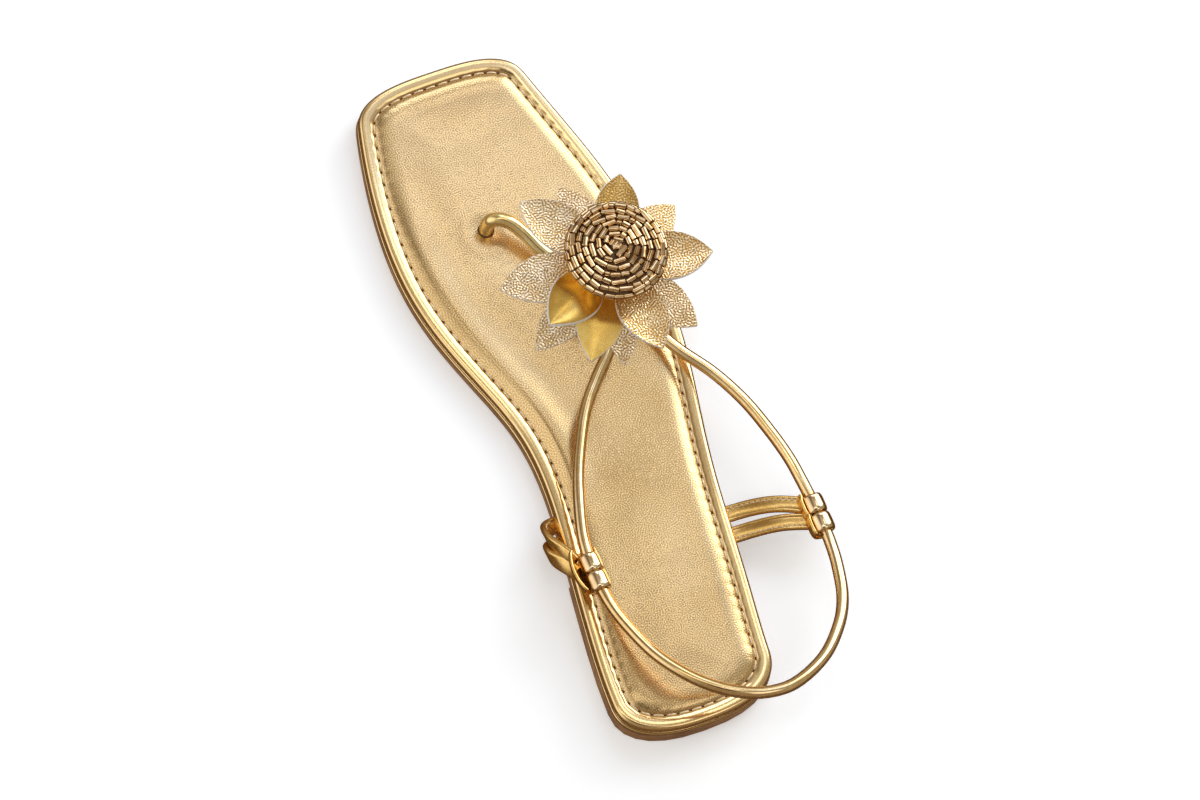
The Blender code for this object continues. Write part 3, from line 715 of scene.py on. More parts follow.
def footbed_shape(x, y, inset, height, walk):
    """Lift of the rim and pad: puffed between the stitches, drawn in at each needle hole."""
    if height < RIM_SIDE_HEIGHT and inset < RIM_SIDE_INSET:
        return 0.0
    _, _, pitch = seam()
    drawn = abs(sin(pi * walk / pitch))
    pucker = wave(walk, inset * 0.35, 0.0, 2.2) + 0.5 * wave(walk, inset * 0.3, 4.0, 1.1)
    inner_puff = bell(inset, 6.8, 1.3)
    outer_puff = bell(inset, 4.5, 0.5)
    puff = (0.09 * inner_puff + 0.06 * outer_puff) * (drawn**0.6 - 0.6)
    puff += 0.2 * bell(inset, SEAM_INSET, 0.7) * (drawn - 0.6)
    puff += 0.02 * (inner_puff + 0.2 * outer_puff) * pucker
    return puff + leather_swell(x, y) * smooth_between(inset, SEAM_INSET, 10.0)


def crown_middle(mesh):
    """Give the pad inside the last ring its swell and a soft crown."""
    pad = FOOTBED_RINGS[-1]
    shaped = len(sole_profile(FOOTBED_RINGS, FOOTBED_SMOOTHING)) * len(sole_ring(*pad))
    for v in mesh.vertices[shaped:]:
        x, y = v.co.x / MM, v.co.y / MM
        from_heel = y + HEEL_TO_ORIGIN
        edge = min(x - inner_edge(from_heel), outer_edge(from_heel) - x, from_heel, SOLE_LENGTH - from_heel)
        crown = CROWN * smooth_between(edge, pad.inset, CROWN_INSET)
        v.co.z = (underside(from_heel) + pad.height + leather_swell(x, y) + crown) * MM


def build_sole():
    footbed = sole_layer("footbed_leather", FOOTBED_RINGS, ["binding", "footbed"], FOOTBED_SMOOTHING,
                         footbed_shape, columns=50)
    crown_middle(footbed.data)
    finish_piece(footbed, ["footbed"])
    board = sole_layer("wrapped_board_edge", BOARD_RINGS, ["binding"], smoothing=0.35)
    finish_piece(board, ["midsole"])
    outsole = sole_layer("outsole_edge", OUTSOLE_RINGS, ["edge"], smoothing=0.4)
    finish_piece(outsole, ["outsole"])
    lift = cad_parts["heel_lift"]
    lift.data.materials.clear()
    lift.data.materials.append(LOOKS["edge"])
    build_seam()


# A dark lozenge in the groove: painted shade standing for the inside of a needle hole.
def needle_hole(centre, along):
    side = along.cross(UPRIGHT).normalized()
    points = []
    for level, share in HOLE_RINGS:
        for turn in turns(10):
            place = centre + along * (HOLE_HALF_LENGTH * share * cos(turn))
            place += side * (HOLE_HALF_WIDTH * share * sin(turn))
            points.append((place.x, place.y, centre.z + level))
    return points, tube_faces(len(HOLE_RINGS), 10), [(0, 0)] * len(points)


def build_seam():
    """Thread along the groove, and dark needle holes in it that are painted shade."""
    ring, walk, pitch = seam()
    thread = [(THREAD_HALF_WIDTH * cos(a), THREAD_HALF_HEIGHT * sin(a)) for a in turns(8)]

    def at(distance):
        i, share = find_step(walk, distance % walk[-1])
        return Vector(ring[i]).lerp(Vector(ring[i + 1]), share)

    rng = random.Random(7)
    threads, holes = [], []
    for n in range(round(walk[-1] / pitch)):
        start = n * pitch + STITCH_GAP + rng.uniform(-0.08, 0.08)
        route = []
        for t in np.linspace(0, 1, 9):
            place = at(start + (pitch - 2 * STITCH_GAP) * t)
            place.z += 0.5 * sin(pi * t) ** 0.6 - 0.2
            route.append(place)
        threads.append(sweep(route, thread))
        middle = n * pitch + rng.uniform(-0.1, 0.1)
        holes.append(needle_hole(at(middle), (at(middle + 0.3) - at(middle)).normalized()))
    show("footbed_stitches", threads, "thread")
    show("footbed_needle_holes", holes, "hole")


# ---------------- cord and toe post

CORD_RADIUS = 2.15
POST_RADIUS = 2.5
LOOP_ROUTE = (
    (25.0, 123.5, 15.6),
    (22.0, 114.0, 15.2),
    (16.8, 104.6, 15.0),
    (8.6, 96.0, 15.5),
    (0.3, 86.0, 16.5),
    (-7.6, 72.0, 18.0),
    (-12.0, 62.4, 19.0),
    (-15.6, 52.4, 20.0),
    (-18.3, 43.0, 20.6),
    (-19.4, 34.4, 21.0),
    (-19.5, 26.5, 21.5),
    (-18.9, 18.0, 22.4),
    (-17.0, 8.6, 24.2),
    (-12.6, -4.5, 27.0),
    (-6.5, -14.8, 29.0),
    (0.6, -22.7, 30.2),
    (8.7, -28.4, 30.5),
    (18.0, -31.8, 30.0),
    (28.9, -31.8, 28.5),
    (42.3, -25.8, 25.0),
    (52.3, -16.4, 21.5),
    (58.2, -6.8, 18.8),
    (61.5, 5.0, 16.5),
    (62.8, 14.0, 14.8),
    (63.0, 21.3, 14.0),
    (62.9, 29.5, 13.7),
    (62.2, 38.5, 13.7),
    (61.2, 47.0, 14.0),
    (58.7, 57.6, 14.5),
    (54.3, 71.4, 15.0),
    (47.9, 84.5, 15.2),
    (39.9, 96.2, 15.4),
    (34.4, 106.5, 15.5),
    (31.6, 115.0, 15.6),
    (30.6, 123.5, 15.6),
)
POST_ROUTE = (
    (-6.0, 161.2, 3.9),
    (-6.0, 161.2, 10.5),
    (-5.9, 161.3, 15.0),
    (-4.6, 161.4, 18.3),
    (-1.9, 160.3, 19.8),
    (1.5, 157.3, 19.6),
    (4.6, 152.4, 18.5),
    (7.4, 146.6, 17.3),
    (12.0, 140.2, 16.4),
    (19.0, 134.0, 15.9),
    (26.0, 129.5, 15.7),
)
KNOT_CENTRE = Vector((27.6, 126.5, 15.6))
KNOT_TURNS, KNOT_PITCH, KNOT_CORD_RADIUS = 3, 2.6 / 3, 1.25
KNOT_HALF_LENGTH, KNOT_HALF_WIDTH, KNOT_HALF_HEIGHT = 5.2, 4.9, 2.4
KNOT_CORE_RADII = (2.4, 4.0, 4.6, 4.8, 4.6, 4.0, 2.4)
HOLE_EDGE_RADIUS, HOLE_EDGE_THICKNESS, HOLE_EDGE_LIFT = 2.75, 0.3, 10.25


def build_cord():
    loop = sweep(smooth_route(LOOP_ROUTE, step=1.6), circle(CORD_RADIUS, sides=24, seam=0.22))
    show("slingback_cord", [loop], "cord", ["strap_cord"])
    post = sweep(smooth_route(POST_ROUTE, step=1.2), circle(POST_RADIUS, sides=24, seam=0.2))
    show("toe_post_cord", [post], "post")
    # A thin dark ring round the post at the footbed: painted shade at the edge of the post's hole.
    rim = underside(POST_Y + HEEL_TO_ORIGIN) + HOLE_EDGE_LIFT + leather_swell(POST_X, POST_Y)
    edge = [(POST_X + HOLE_EDGE_RADIUS * cos(a), POST_Y + HOLE_EDGE_RADIUS * sin(a), rim)
            for a in np.linspace(0, 2 * pi, 33)]
    show("toe_post_hole_edge", [sweep(edge, circle(HOLE_EDGE_THICKNESS, sides=8))], "hole")
    build_knot()


def build_knot():
    """The cord wound round its own ends under the flower."""
    wraps = []
    for turned in np.linspace(0, KNOT_TURNS, 91):
        turn = 2 * pi * turned
        level = KNOT_PITCH * (turned - KNOT_TURNS / 2)
        away = Vector((KNOT_HALF_LENGTH * cos(turn), KNOT_HALF_WIDTH * sin(turn), level))
        wraps.append(KNOT_CENTRE + away)
    levels = np.linspace(-KNOT_HALF_HEIGHT, KNOT_HALF_HEIGHT, len(KNOT_CORE_RADII))
    core = [KNOT_CENTRE + UPRIGHT * level for level in levels]
    parts = [sweep(wraps, circle(KNOT_CORD_RADIUS, sides=12)),
             sweep(core, lambda k: circle(KNOT_CORE_RADII[k], sides=20))]
    show("cord_knot_wraps", parts, "cord")


# ---------------- beads

BEAD_RADIUS, BEAD_BORE_RADIUS = 3.9, 2.45
# The bead middles, and how far the cuff starts ahead of the front one and ends past the rear one.
BEAD_PAIRS = table(
    "side front rear cuff_ahead cuff_past",
    ("inner", Vector((-19.42, 33.2, 21.0)), Vector((-19.45, 26.2, 21.5)), 6.0, 1.6),
    ("outer", Vector((62.92, 28.5, 13.7)), Vector((62.98, 21.4, 14.0)), 4.4, 3.2),
)
# Radius and height from the bore's end to near the bead's middle; the other half mirrors it.
BEAD_END = (
    (2.55, 3.1),
    (2.7, 3.32),
    (3.05, 3.35),
    (3.42, 3.2),
    (3.66, 2.9),
    (3.79, 2.45),
    (3.86, 1.9),
    (3.89, 1.1),
)


def build_beads():
    profile = [*BEAD_END, (BEAD_RADIUS, 0.0), *other_end(BEAD_END), (BEAD_BORE_RADIUS, 0.0)]
    for pair in BEAD_PAIRS:
        for end, centre in (("front", pair.front), ("rear", pair.rear)):
            bead = turned_points(profile, 48, axis=pair.front - pair.rear, centre=centre)
            show(f"barrel_bead_{pair.side}_{end}", [bead], "bead", [f"bead_{pair.side}_{end}"])


# ---------------- side straps

CUFF_WALL = 1.1
SECTION = "x y z face_x face_y face_z"
INNER_FRONT_LEG = table(
    SECTION,
    (-20.0, 54.2, 6.5, 0, 0, 1),
    (-23.2, 54.1, 6.6, 0.1, 0, 1),
    (-25.8, 53.7, 7.6, 0.6, -0.1, 0.8),
    (-27.3, 51.8, 10.6, 1, -0.2, 0.1),
    (-28.0, 48.0, 13.5, 0.9, -0.35, -0.3),
    (-27.0, 43.8, 16.0, 0.8, -0.35, -0.55),
    (-24.9, 39.3, 18.0, 0.8, -0.3, -0.55),
    (-23.7, 36.0, 18.8, 0.9, -0.1, -0.4),
)
INNER_REAR_LEG = table(
    SECTION,
    (-20.6, 46.9, 6.9, 0, 0, 1),
    (-24.4, 46.8, 7.0, 0.1, 0, 1),
    (-27.6, 46.5, 7.9, 0.6, -0.1, 0.8),
    (-29.4, 45.2, 10.4, 1, -0.2, 0.1),
    (-29.4, 42.0, 12.8, 0.9, -0.35, -0.35),
    (-27.6, 38.9, 14.8, 0.8, -0.35, -0.6),
    (-25.5, 35.6, 16.6, 0.8, -0.3, -0.6),
    (-24.2, 32.4, 17.6, 0.9, -0.1, -0.45),
)
OUTER_FRONT_LEG = table(
    SECTION,
    (31.9, 37.4, 7.5, 0, 0, 1),
    (36.5, 37.1, 7.7, 0, 0, 1),
    (41.8, 36.5, 8.9, -0.2, 0, 1),
    (47.8, 35.1, 10.8, -0.25, 0, 1),
    (53.1, 33.1, 12.2, -0.2, 0, 1),
    (59.4, 30.0, 13.0, -0.2, 0, 1),
)
OUTER_REAR_LEG = table(
    SECTION,
    (31.0, 29.6, 7.5, 0, 0, 1),
    (35.6, 29.4, 7.7, 0, 0, 1),
    (40.5, 28.9, 8.9, -0.2, 0, 1),
    (46.2, 27.9, 10.8, -0.25, 0, 1),
    (51.8, 26.5, 12.2, -0.2, 0, 1),
    (59.3, 23.8, 13.0, -0.2, 0, 1),
)
WALL = "angle radius bulge"
INNER_CUFF = table(
    WALL,
    (-36, 4.25, 0.0),
    (-62, 4.25, 0.0),
    (-88, 4.25, 0.1),
    (-115, 4.3, 0.4),
    (-142, 4.5, 0.9),
    (-170, 4.6, 1.4),
    (-197, 4.6, 1.9),
)
OUTER_CUFF = table(
    WALL,
    (-56, 4.25, 0.0),
    (-80, 4.25, 0.0),
    (-104, 4.1, 0.1),
    (-128, 3.9, 0.3),
    (-152, 3.65, 0.5),
    (-180, 3.5, 0.7),
    (-210, 3.45, 0.8),
)
# Half the band's section, u across and v out of its inner face: a roll at the edge, a stitched
# valley, and the flat back.
BAND_FRONT = ((3.0, 0.0), (2.9, 0.5), (2.6, 0.92), (2.2, 1.08), (1.85, 0.98), (1.5, 0.74), (1.1, 0.82))
BAND_BACK = ((2.0, -1.1), (2.6, -0.92), (2.9, -0.5))
BAND_MIDDLE, BAND_BACK_MIDDLE = (0.0, 0.95), (0.0, -1.15)
STRAP_STITCH_PITCH, STRAP_STITCH, STRAP_THREAD_RADIUS = 1.9, 1.25, 0.28
VALLEY_ACROSS, VALLEY_LEVEL, STITCH_ARCH = 1.5, 0.66, 0.34
FIRST_STITCH, LAST_STITCH = 4.0, 2.5  # how far the stitches stay from the leg's two ends
BEAD_HALF_GRIP = 3.7  # the outer cuff swells over this much of a bead each way


def relaxed(points, times):
    """Even out a route's corners; its ends stay."""
    for _ in range(times):
        inner = [(a + 2 * b + c) / 4 for a, b, c in zip(points, points[1:], points[2:])]
        points = [points[0], *inner, points[-1]]
    return points


def mirrored(half):
    return [(-u, v) for u, v in half[::-1]]


def leg_route(sections):
    """The band's route and a function for the way its inner face looks along it."""
    path = relaxed(smooth_route([(s.x, s.y, s.z) for s in sections], 0.9), 10)
    ways = relaxed(smooth_route([(s.face_x, s.face_y, s.face_z) for s in sections], 0.05), 60)

    def face(share):
        place = share * (len(ways) - 1)
        low = min(int(place), len(ways) - 2)
        return ways[low].lerp(ways[low + 1], place - low)

    return path, face


def build_leg(sections, stitched_side):
    """A folded band and the thread along one of its edges."""
    path, face = leg_route(sections)
    outline = [*BAND_FRONT, BAND_MIDDLE, *mirrored(BAND_FRONT)]
    outline += [*mirrored(BAND_BACK), BAND_BACK_MIDDLE, *BAND_BACK]
    walk = distances(path)
    threads = []
    distance = FIRST_STITCH
    while distance < walk[-1] - LAST_STITCH:
        route = []
        for t in np.linspace(0, 1, 6):
            i, share = find_step(walk, distance + STRAP_STITCH * t)
            along = (path[i + 1] - path[i]).normalized()
            side = along.cross(face((i + share) / (len(path) - 1))).normalized()
            rise = VALLEY_LEVEL + STITCH_ARCH * sin(pi * t)
            place = path[i].lerp(path[i + 1], share) + side * (VALLEY_ACROSS * stitched_side)
            route.append(place + side.cross(along) * rise)
        threads.append(sweep(route, circle(STRAP_THREAD_RADIUS, sides=6)))
        distance += STRAP_STITCH_PITCH
    return sweep(path, outline, up=face), threads


def build_cuff(pair, walls):
    """The leather wrapped round a pair of beads; the outer one swells over each bead."""
    gap = (pair.rear - pair.front).length
    axis = (pair.rear - pair.front).normalized()
    length = gap + pair.cuff_ahead + pair.cuff_past
    start = pair.front - axis * pair.cuff_ahead
    outward = (Vector((1, 0, 0)) - axis * axis.x).normalized()
    up = outward.cross(axis)
    up = up if up.z > 0 else -up
    angles = [w.angle for w in walls][::-1]
    radius = natural_spline(angles, [w.radius for w in walls][::-1])
    bulge = natural_spline(angles, [w.bulge for w in walls][::-1])
    rows = []
    for share in np.linspace(0, 1, 33):
        past = length * share - pair.cuff_ahead
        off_bead = min(abs(past), abs(past - gap))
        swell = sin(pi * share) ** 0.7
        if pair.side == "outer":
            swell = max(1 - (off_bead / BEAD_HALF_GRIP) ** 4, 0.0)
        row = []
        for angle in np.linspace(angles[-1], angles[0], 29):
            turn = radians(angle)
            out = outward * cos(turn) + up * sin(turn)
            r = radius(angle) + bulge(angle) * swell + CUFF_WALL / 2
            row.append(tuple(start + axis * length * share + out * r))
        rows.append(row)
    points, faces, _, uvs = thick_sheet(rows, CUFF_WALL, rim_steps=5, bulge=CUFF_WALL / 2)
    return points, faces, uvs


def build_straps():
    """Each strap's cuff and two legs; 1 or -1 is the side of a leg's band that is stitched."""
    plans = (
        (BEAD_PAIRS[0], INNER_CUFF, ((INNER_FRONT_LEG, 1), (INNER_REAR_LEG, -1))),
        (BEAD_PAIRS[1], OUTER_CUFF, ((OUTER_FRONT_LEG, -1), (OUTER_REAR_LEG, 1))),
    )
    for pair, walls, legs in plans:
        parts, threads = [build_cuff(pair, walls)], []
        for sections, stitched_side in legs:
            band, stitches = build_leg(sections, stitched_side)
            parts.append(band)
            threads += stitches
        show(f"{pair.side}_strap_leather", parts, "strap", [f"side_strap_{pair.side}"])
        show(f"{pair.side}_strap_stitches", threads, "thread")


# ---------------- flower

FLOWER = Vector((28.3, 132.1, 0.0))
PETAL_ROOT, PETAL_ROOT_WIDTH = 8.0, 0.4
PETAL_THICKNESS = 0.9
PETAL_TIP_WIDTH, PETAL_WIDEST = 0.5, 0.45
BACK_LEVEL, LOW_LEVEL, MID_LEVEL, HIGH_LEVEL = 18.9, 20.3, 22.1, 23.0
PETALS = table(
    "name angle reach width level rise cupping look",
    ("petal_front_1", 63, 32.5, 15.5, LOW_LEVEL, 1.5, 1.5, "crackle_amber"),
    ("petal_front_2", 126, 38.0, 17.0, MID_LEVEL, 0.6, 0.8, "crackle_champagne"),
    ("petal_front_3", 174, 40.0, 18.0, LOW_LEVEL, -0.6, 0.4, "crackle_champagne"),
    ("petal_front_4", 206, 32.5, 17.5, HIGH_LEVEL, -0.5, 2.2, "amber"),
    ("petal_front_5", 237, 36.5, 16.5, LOW_LEVEL, -0.6, 0.6, "amber"),
    ("petal_front_6", 278, 35.5, 17.0, HIGH_LEVEL, -1.5, 1.2, "crackle_golden"),
    ("petal_front_7", 347, 35.5, 17.5, LOW_LEVEL, 0.8, 1.5, "crackle_golden"),
    ("petal_back_1", 101, 33.0, 14.0, BACK_LEVEL, -1.0, 0.0, "crackle_tan"),
    ("petal_back_2", 209, 41.0, 15.0, BACK_LEVEL, -1.2, 0.0, "crackle_champagne"),
    ("petal_back_3", 256, 36.5, 12.0, BACK_LEVEL, -1.2, 0.0, "crackle_tan"),
    ("petal_back_4", 303, 36.5, 16.0, BACK_LEVEL, -1.0, 0.0, "crackle_tan"),
    ("petal_back_5", 24, 31.8, 15.0, BACK_LEVEL, -0.8, 0.0, "crackle_golden"),
)
CUP_BOTTOM, CUP_TOP = 24.6, 33.2
CUP_FOOT_RADIUS, CUP_MIDDLE_RADIUS, CUP_RIM_RADIUS = 12.6, 14.9, 16.9
CUP_WALL = 1.2
STEM_RADIUS, STEM_BOTTOM = 4.4, 18.7
CUP_FOOT = (
    (CUP_FOOT_RADIUS - 0.6, CUP_BOTTOM),
    (CUP_FOOT_RADIUS - 2.0, CUP_BOTTOM - 0.3),
    (STEM_RADIUS + 0.6, CUP_BOTTOM - 0.2),
    (STEM_RADIUS, CUP_BOTTOM - 0.8),
    (STEM_RADIUS, STEM_BOTTOM),
)
SLIT_COUNT, STRIP_COLUMNS, SLIT_COLUMN = 20, 12, 6
SLIT_WIDTH, SLIT_DEPTH = 0.45, 0.9
DISC_TOP, DISC_BOTTOM, DISC_RADIUS = 35.4, 33.5, 17.2
DISC_PROFILE = (
    (0.01, DISC_BOTTOM),
    (DISC_RADIUS - 0.5, DISC_BOTTOM),
    (DISC_RADIUS - 0.2, DISC_BOTTOM + 0.3),
    (DISC_RADIUS - 0.6, DISC_TOP - 1.4),
    (DISC_RADIUS * 0.6, DISC_TOP - 1.0),
    (0.01, DISC_TOP - 0.8),
)
BUGLE_RADIUS, BUGLE_PITCH = 1.02, 2.35
BUGLE_LENGTHS = (1.8, 2.8, 3.2, 3.4, 3.6, 3.8, 4.2, 4.8)
BUGLE_GAPS = (0.12, 0.15, 0.2, 0.3, 0.6)
COIL_RADIUS = DISC_RADIUS - 1.1
COIL_MIDDLE = Vector((0.5, 1.6, 0))  # the coil's middle lies a little toward the toe
RIM_BUGLE_COUNT, RIM_BUGLE_LENGTHS = 30, (2.6, 3.1, 3.3)


def petal_half_width(petal, share):
    if share < PETAL_WIDEST:
        belly = sin(pi / 2 * share / PETAL_WIDEST)
        return petal.width / 2 * (PETAL_ROOT_WIDTH + (1 - PETAL_ROOT_WIDTH) * belly)
    toward_tip = (share - PETAL_WIDEST) / (1 - PETAL_WIDEST)
    return max(petal.width / 2 * (1 - toward_tip**2) ** 0.9, PETAL_TIP_WIDTH / 2)


def build_petal(petal, number):
    length = petal.reach - PETAL_ROOT
    out = spoke(radians(petal.angle))
    side = Vector((-out.y, out.x, 0))
    rows = []
    for share in np.linspace(0, 1, 31):
        half = petal_half_width(petal, share)
        curl = min(max((share - 0.15) / 0.35, 0.0), 1.0)
        row = []
        for across in np.linspace(-1, 1, 17):
            lift = petal.rise * share**2 + petal.cupping * curl * across**2 * half / (petal.width / 2)
            ripple = 0.12 * wave(share * 26, across * half, number * 9.0, 7) * min(share * 3, 1)
            place = FLOWER + out * (PETAL_ROOT + length * share) + side * (across * half)
            place.z = petal.level + lift + PETAL_THICKNESS / 2 + ripple
            row.append(tuple(place))
        rows.append(row)
    points, faces, looks, uvs = thick_sheet(rows, PETAL_THICKNESS + 0.2, rim_steps=3, bulge=0.12)
    looks = [min(look, 1) for look in looks]  # the back is raw, like the cut edge
    piece = mesh_piece(f"{petal.name}_leather", points, faces, [petal.look, "raw"], uvs, looks)
    piece.visible_glossy = False  # the gold footbed keeps its soft sheen close to the flower
    finish_piece(piece, [petal.name])


def build_cup():
    """The cup's wall as strips between slits, closed above and below, and its stem."""
    levels = [CUP_BOTTOM, (CUP_BOTTOM + CUP_TOP) / 2, CUP_TOP]
    wall_radius = natural_spline(levels, [CUP_FOOT_RADIUS, CUP_MIDDLE_RADIUS, CUP_RIM_RADIUS])
    shares = np.linspace(0, 1, 21)
    columns = SLIT_COUNT * STRIP_COLUMNS
    ring = []
    for share in shares:
        z = CUP_BOTTOM + (CUP_TOP - CUP_BOTTOM) * share
        opening = SLIT_WIDTH * sin(pi * min(max((share - 0.22) / 0.7, 0.0), 1.0)) ** 0.8
        depth = min(opening * 3, 1.0)
        for c, turn in enumerate(turns(columns)):
            off_slit = c % STRIP_COLUMNS - SLIT_COLUMN
            radius = wall_radius(z) - CUP_WALL / 2
            swell = 0.22 * sin(pi * off_slit / STRIP_COLUMNS) ** 2 * sin(pi * share)
            if off_slit == 0:
                radius -= SLIT_DEPTH * depth
            elif abs(off_slit) == 1:
                # the cut's two lips are pushed apart in the upper part of the wall
                shift = opening - radians(30 / SLIT_COUNT) * radius * 0.55 * depth
                turn += off_slit * shift / radius
            ring.append((radius + swell, turn, z))
    ring += [(radius, turn, z) for radius, z in CUP_FOOT for turn in turns(columns)]
    points = [(FLOWER.x + r * cos(turn), FLOWER.y + r * sin(turn), z) for r, turn, z in ring]
    wall = number_rings(len(shares), columns)
    foot = number_rings(len(CUP_FOOT), columns, len(shares) * columns)
    faces = strips(wall) + strips([wall[0], *foot]) + [tuple(foot[-1]), tuple(wall[-1])]
    cup = mesh_piece("flower_cup_leather", points, faces, ["amber"])
    finish_piece(cup, ["flower_cup"])


def bugle(centre, along, length, radius=BUGLE_RADIUS):
    """One tube bead with softened ends and its bore."""
    half = length / 2
    end = ((radius * 0.45, half - 0.25), (radius * 0.5, half), (radius * 0.82, half), (radius, half - 0.18))
    return turned_points([*end, *other_end(end)], 12, axis=along, centre=centre)


def on_coil(turn):
    """The place of the bugle beads' coil after a turn from its middle."""
    radius = min(BUGLE_PITCH * turn / (2 * pi), COIL_RADIUS)
    share = min(radius / DISC_RADIUS, 1.0)
    place = FLOWER + COIL_MIDDLE * (1 - share) + spoke(-turn) * radius
    place.z = DISC_TOP - 0.9 + 0.55 * (1 - share**2)
    return place


def build_disc():
    """A dark ground, painted shade between the beads, with a coil of bugle beads, three at its middle and a
    ring round its rim.
    """
    ground = turned_points(DISC_PROFILE, 64, axis=UPRIGHT, centre=FLOWER)
    show("flower_disc_ground", [ground], "ground", ["flower_disc"])
    rng = random.Random(11)
    beads = []
    turn = 0.2
    while turn < (COIL_RADIUS / BUGLE_PITCH + 0.4) * 2 * pi:
        radius = max(BUGLE_PITCH * turn / (2 * pi), 0.6)
        length = min(rng.choice(BUGLE_LENGTHS), radius * 1.5 + 1.0)
        step = (length + rng.choice(BUGLE_GAPS)) / radius
        centre = on_coil(turn + step / 2)
        ahead = on_coil(turn + step / 2 + 0.02) - on_coil(turn + step / 2 - 0.02)
        ahead.z += rng.uniform(-0.1, 0.1) * ahead.length
        swing = Matrix.Rotation(rng.uniform(-0.2, 0.2), 3, "Z")
        centre.z += rng.uniform(-0.12, 0.15)
        beads.append(bugle(centre, swing @ ahead, length, BUGLE_RADIUS * rng.uniform(0.92, 1.05)))
        turn += step
    for x, y in ((0.0, 0.0), (0.9, -1.2), (-1.1, 0.9)):
        centre = FLOWER + COIL_MIDDLE + Vector((x, y, DISC_TOP - 0.45))
        beads.append(bugle(centre, Vector((0.8, 0.5, 0.0)), 2.2))
    for k in range(RIM_BUGLE_COUNT):
        out = spoke(2 * pi * (k + rng.uniform(-0.12, 0.12)) / RIM_BUGLE_COUNT)
        centre = FLOWER + out * (DISC_RADIUS - 0.15) + UPRIGHT * (DISC_TOP - 1.75)
        along = Vector((-out.y, out.x, rng.uniform(-0.08, 0.08)))
        beads.append(bugle(centre, along, rng.choice(RIM_BUGLE_LENGTHS)))
    show("flower_bugle_beads", beads, "bugle")


def build_flower():
    for number, petal in enumerate(PETALS):
        build_petal(petal, number)
    build_cup()
    build_disc()


# ---------------- stage

RIGHT = Vector((0.9216, -0.3717, 0.1129))
UP = Vector((0.3197, 0.8909, 0.3228))
BACK = Vector((-0.2205, -0.2614, 0.9397))
FRAME_CENTRE = Vector((8.2, 90.1, 10.2)) * MM
FRAME_WIDTH = 0.4138
LENS, SENSOR = 250.0, 36.0
FLAT_GLEAM = (0.2205, 0.2614, 0.9397)  # where a level surface mirrors the camera
PANEL_DISTANCE, PANEL_COLOUR = 0.2, (0.8, 1.0, 1.7)
PANELS = table(
    "name place size power",
    ("forefoot_panel", (0.004, 0.184, 0.012), 0.1, 0.0105),
    ("heel_panel", (0.004, -0.012, 0.012), 0.08, 0.0025),
)
SKY = (0.4, 0.365, 0.3)
GROUND = (0.12, 0.06, 0.018)
TUBE_LIGHT = (1.6, 1.6, 1.6)
# Soft lights and shades on the sky: full within the inner angle, gone at the outer, in degrees.
LOBES = table(
    "toward inner outer colour",
    ((0.66, 0.42, 0.62), 9, 23, (1.1, 1.14, 1.22)),
    ((0.22, 0.65, 0.73), 6, 14, (2.2, 2.4, 2.9)),
    ((0.46, 0.26, 0.85), 3, 9, (0.85, 1.15, 1.75)),
    ((0.2205, 0.2614, 0.9397), 2, 5, (2.6, 2.6, 2.6)),
    ((-0.08, 0.25, 0.965), 4, 12, (0.16, 0.17, 0.19)),
    ((-0.91, 0.19, 0.37), 14, 42, (0.85, 0.86, 0.88)),
    ((-0.46, 0.51, 0.72), 8, 26, (-0.2, -0.22, -0.2)),
    ((-0.2, -0.9, 0.4), 15, 50, (-0.12, -0.16, -0.16)),
    ((0.22, -0.42, 0.88), 6, 15, (1.1, 1.1, 1.1)),
    (BACK, 6, 14, (-0.36, -0.34, -0.28)),
)


def build_camera():
    data = bpy.data.cameras.new("camera")
    data.lens, data.sensor_width = LENS, SENSOR
    data.clip_start, data.clip_end = 0.05, 20.0
    camera = add_object("camera", data)
    place = FRAME_CENTRE + BACK * (FRAME_WIDTH * LENS / SENSOR)
    camera.matrix_world = Matrix.Translation(place) @ Matrix((RIGHT, UP, BACK)).transposed().to_4x4()
    bpy.context.scene.camera = camera


def area_light(name, toward, distance, size, power, colour=(1, 1, 1)):
    """A soft box `distance` metres from the shoe in a direction, facing it."""
    data = bpy.data.lights.new(name, "AREA")
    data.shape = "RECTANGLE"
    data.size, data.size_y = size
    data.energy = power
    data.color = colour
    light = add_object(name, data)
    direction = Vector(toward).normalized()
    light.location = FRAME_CENTRE + direction * distance
    light.rotation_mode = "QUATERNION"
    light.rotation_quaternion = direction.to_track_quat("Z", "Y")
    return light


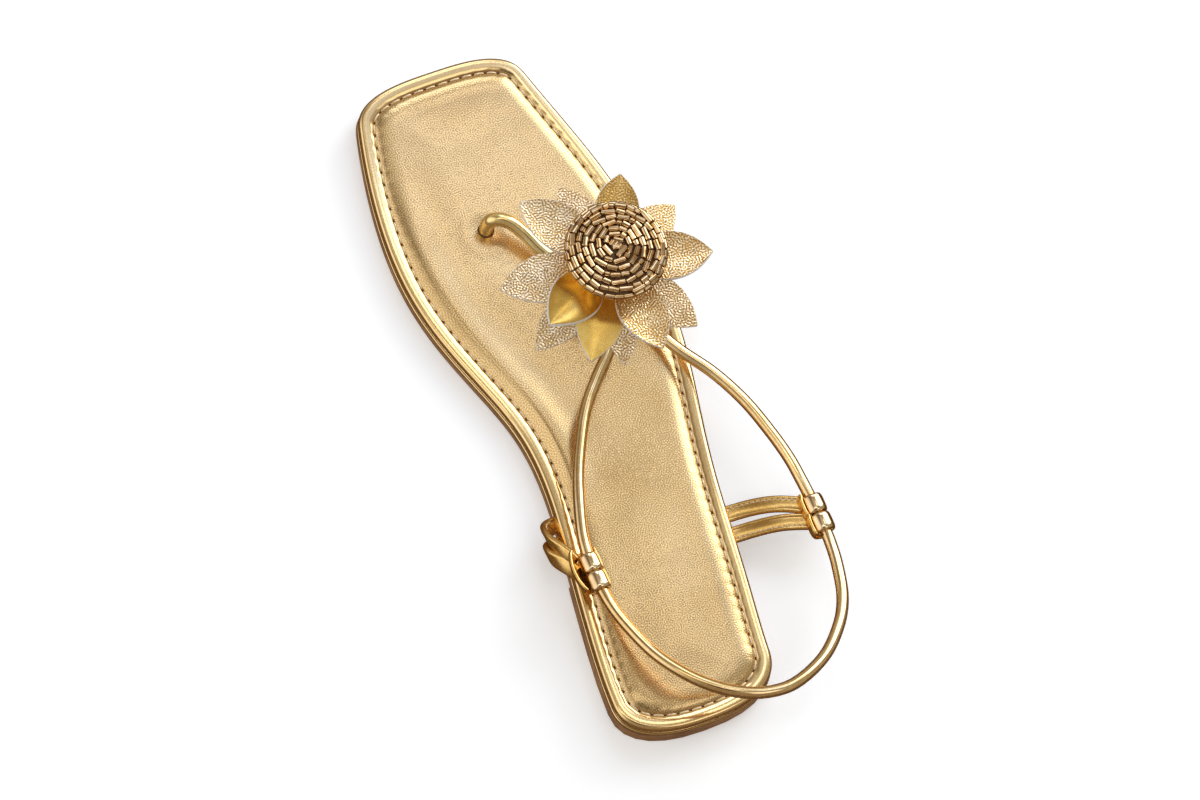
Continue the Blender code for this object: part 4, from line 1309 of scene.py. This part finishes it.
def build_world():
    """A plain studio: soft warm light from above, white to the toe and outer side, dark below."""
    world = bpy.data.worlds.new("studio")
    bpy.context.scene.world = world
    world.use_nodes = True
    graph = Graph(world.node_tree)
    generated = graph.node("ShaderNodeTexCoord").outputs["Generated"]

    def step(toward, start, end):
        """0 to 1 as the cosine of the angle from a direction goes from start to end."""
        facing = graph.vectors("DOT_PRODUCT", generated, Vector(toward).normalized(), output="Value")
        return graph.spread(facing, 0, 1, start, end, "SMOOTHSTEP")

    def lobe(toward, inner, outer):
        return step(toward, cos(radians(outer)), cos(radians(inner)))

    total = SKY
    for row in LOBES:
        total = graph.vectors("MULTIPLY_ADD", lobe(row.toward, row.inner, row.outer), row.colour, total)
    # a narrow curved tube of light toward the toe, which draws a bright line along the cords
    tube = graph.maths("SUBTRACT", lobe(BACK, 23, 26), lobe(BACK, 16, 19))
    tube = graph.maths("MULTIPLY", tube, step(UP - RIGHT * 0.3, 0.15, 0.3))
    total = graph.vectors("MULTIPLY_ADD", tube, TUBE_LIGHT, total)
    mix = graph.node("ShaderNodeMix", data_type="RGBA", Factor=lobe(UPRIGHT, 80, 98), A=(*GROUND, 1), B=total)
    graph.fill(world.node_tree.nodes["Background"].inputs["Color"], mix.outputs["Result"])


def build_floor():
    half = 4000
    corners = [(-half, -half, 0), (half, -half, 0), (half, half, 0), (-half, half, 0)]
    floor = mesh_piece("floor", corners, [(0, 1, 2, 3)], ["floor"])
    floor.location.z = -0.0001
    floor.visible_glossy = False


def build_stage():
    build_camera()
    build_world()
    build_floor()
    area_light("key_soft_box", toward=(0.8, 0.38, 0.46), distance=1.5, size=(0.9, 1.1), power=9)
    for row in PANELS:
        size = (row.size, row.size)
        panel = area_light(row.name, FLAT_GLEAM, PANEL_DISTANCE, size, row.power, PANEL_COLOUR)
        panel.location = Vector(row.place) + Vector(FLAT_GLEAM) * PANEL_DISTANCE
    view = bpy.context.scene.view_settings
    view.view_transform = "Standard"
    view.look = "None"


# ---------------- make it

make_materials()
build_stage()
build_sole()
build_cord()
build_beads()
build_straps()
build_flower()
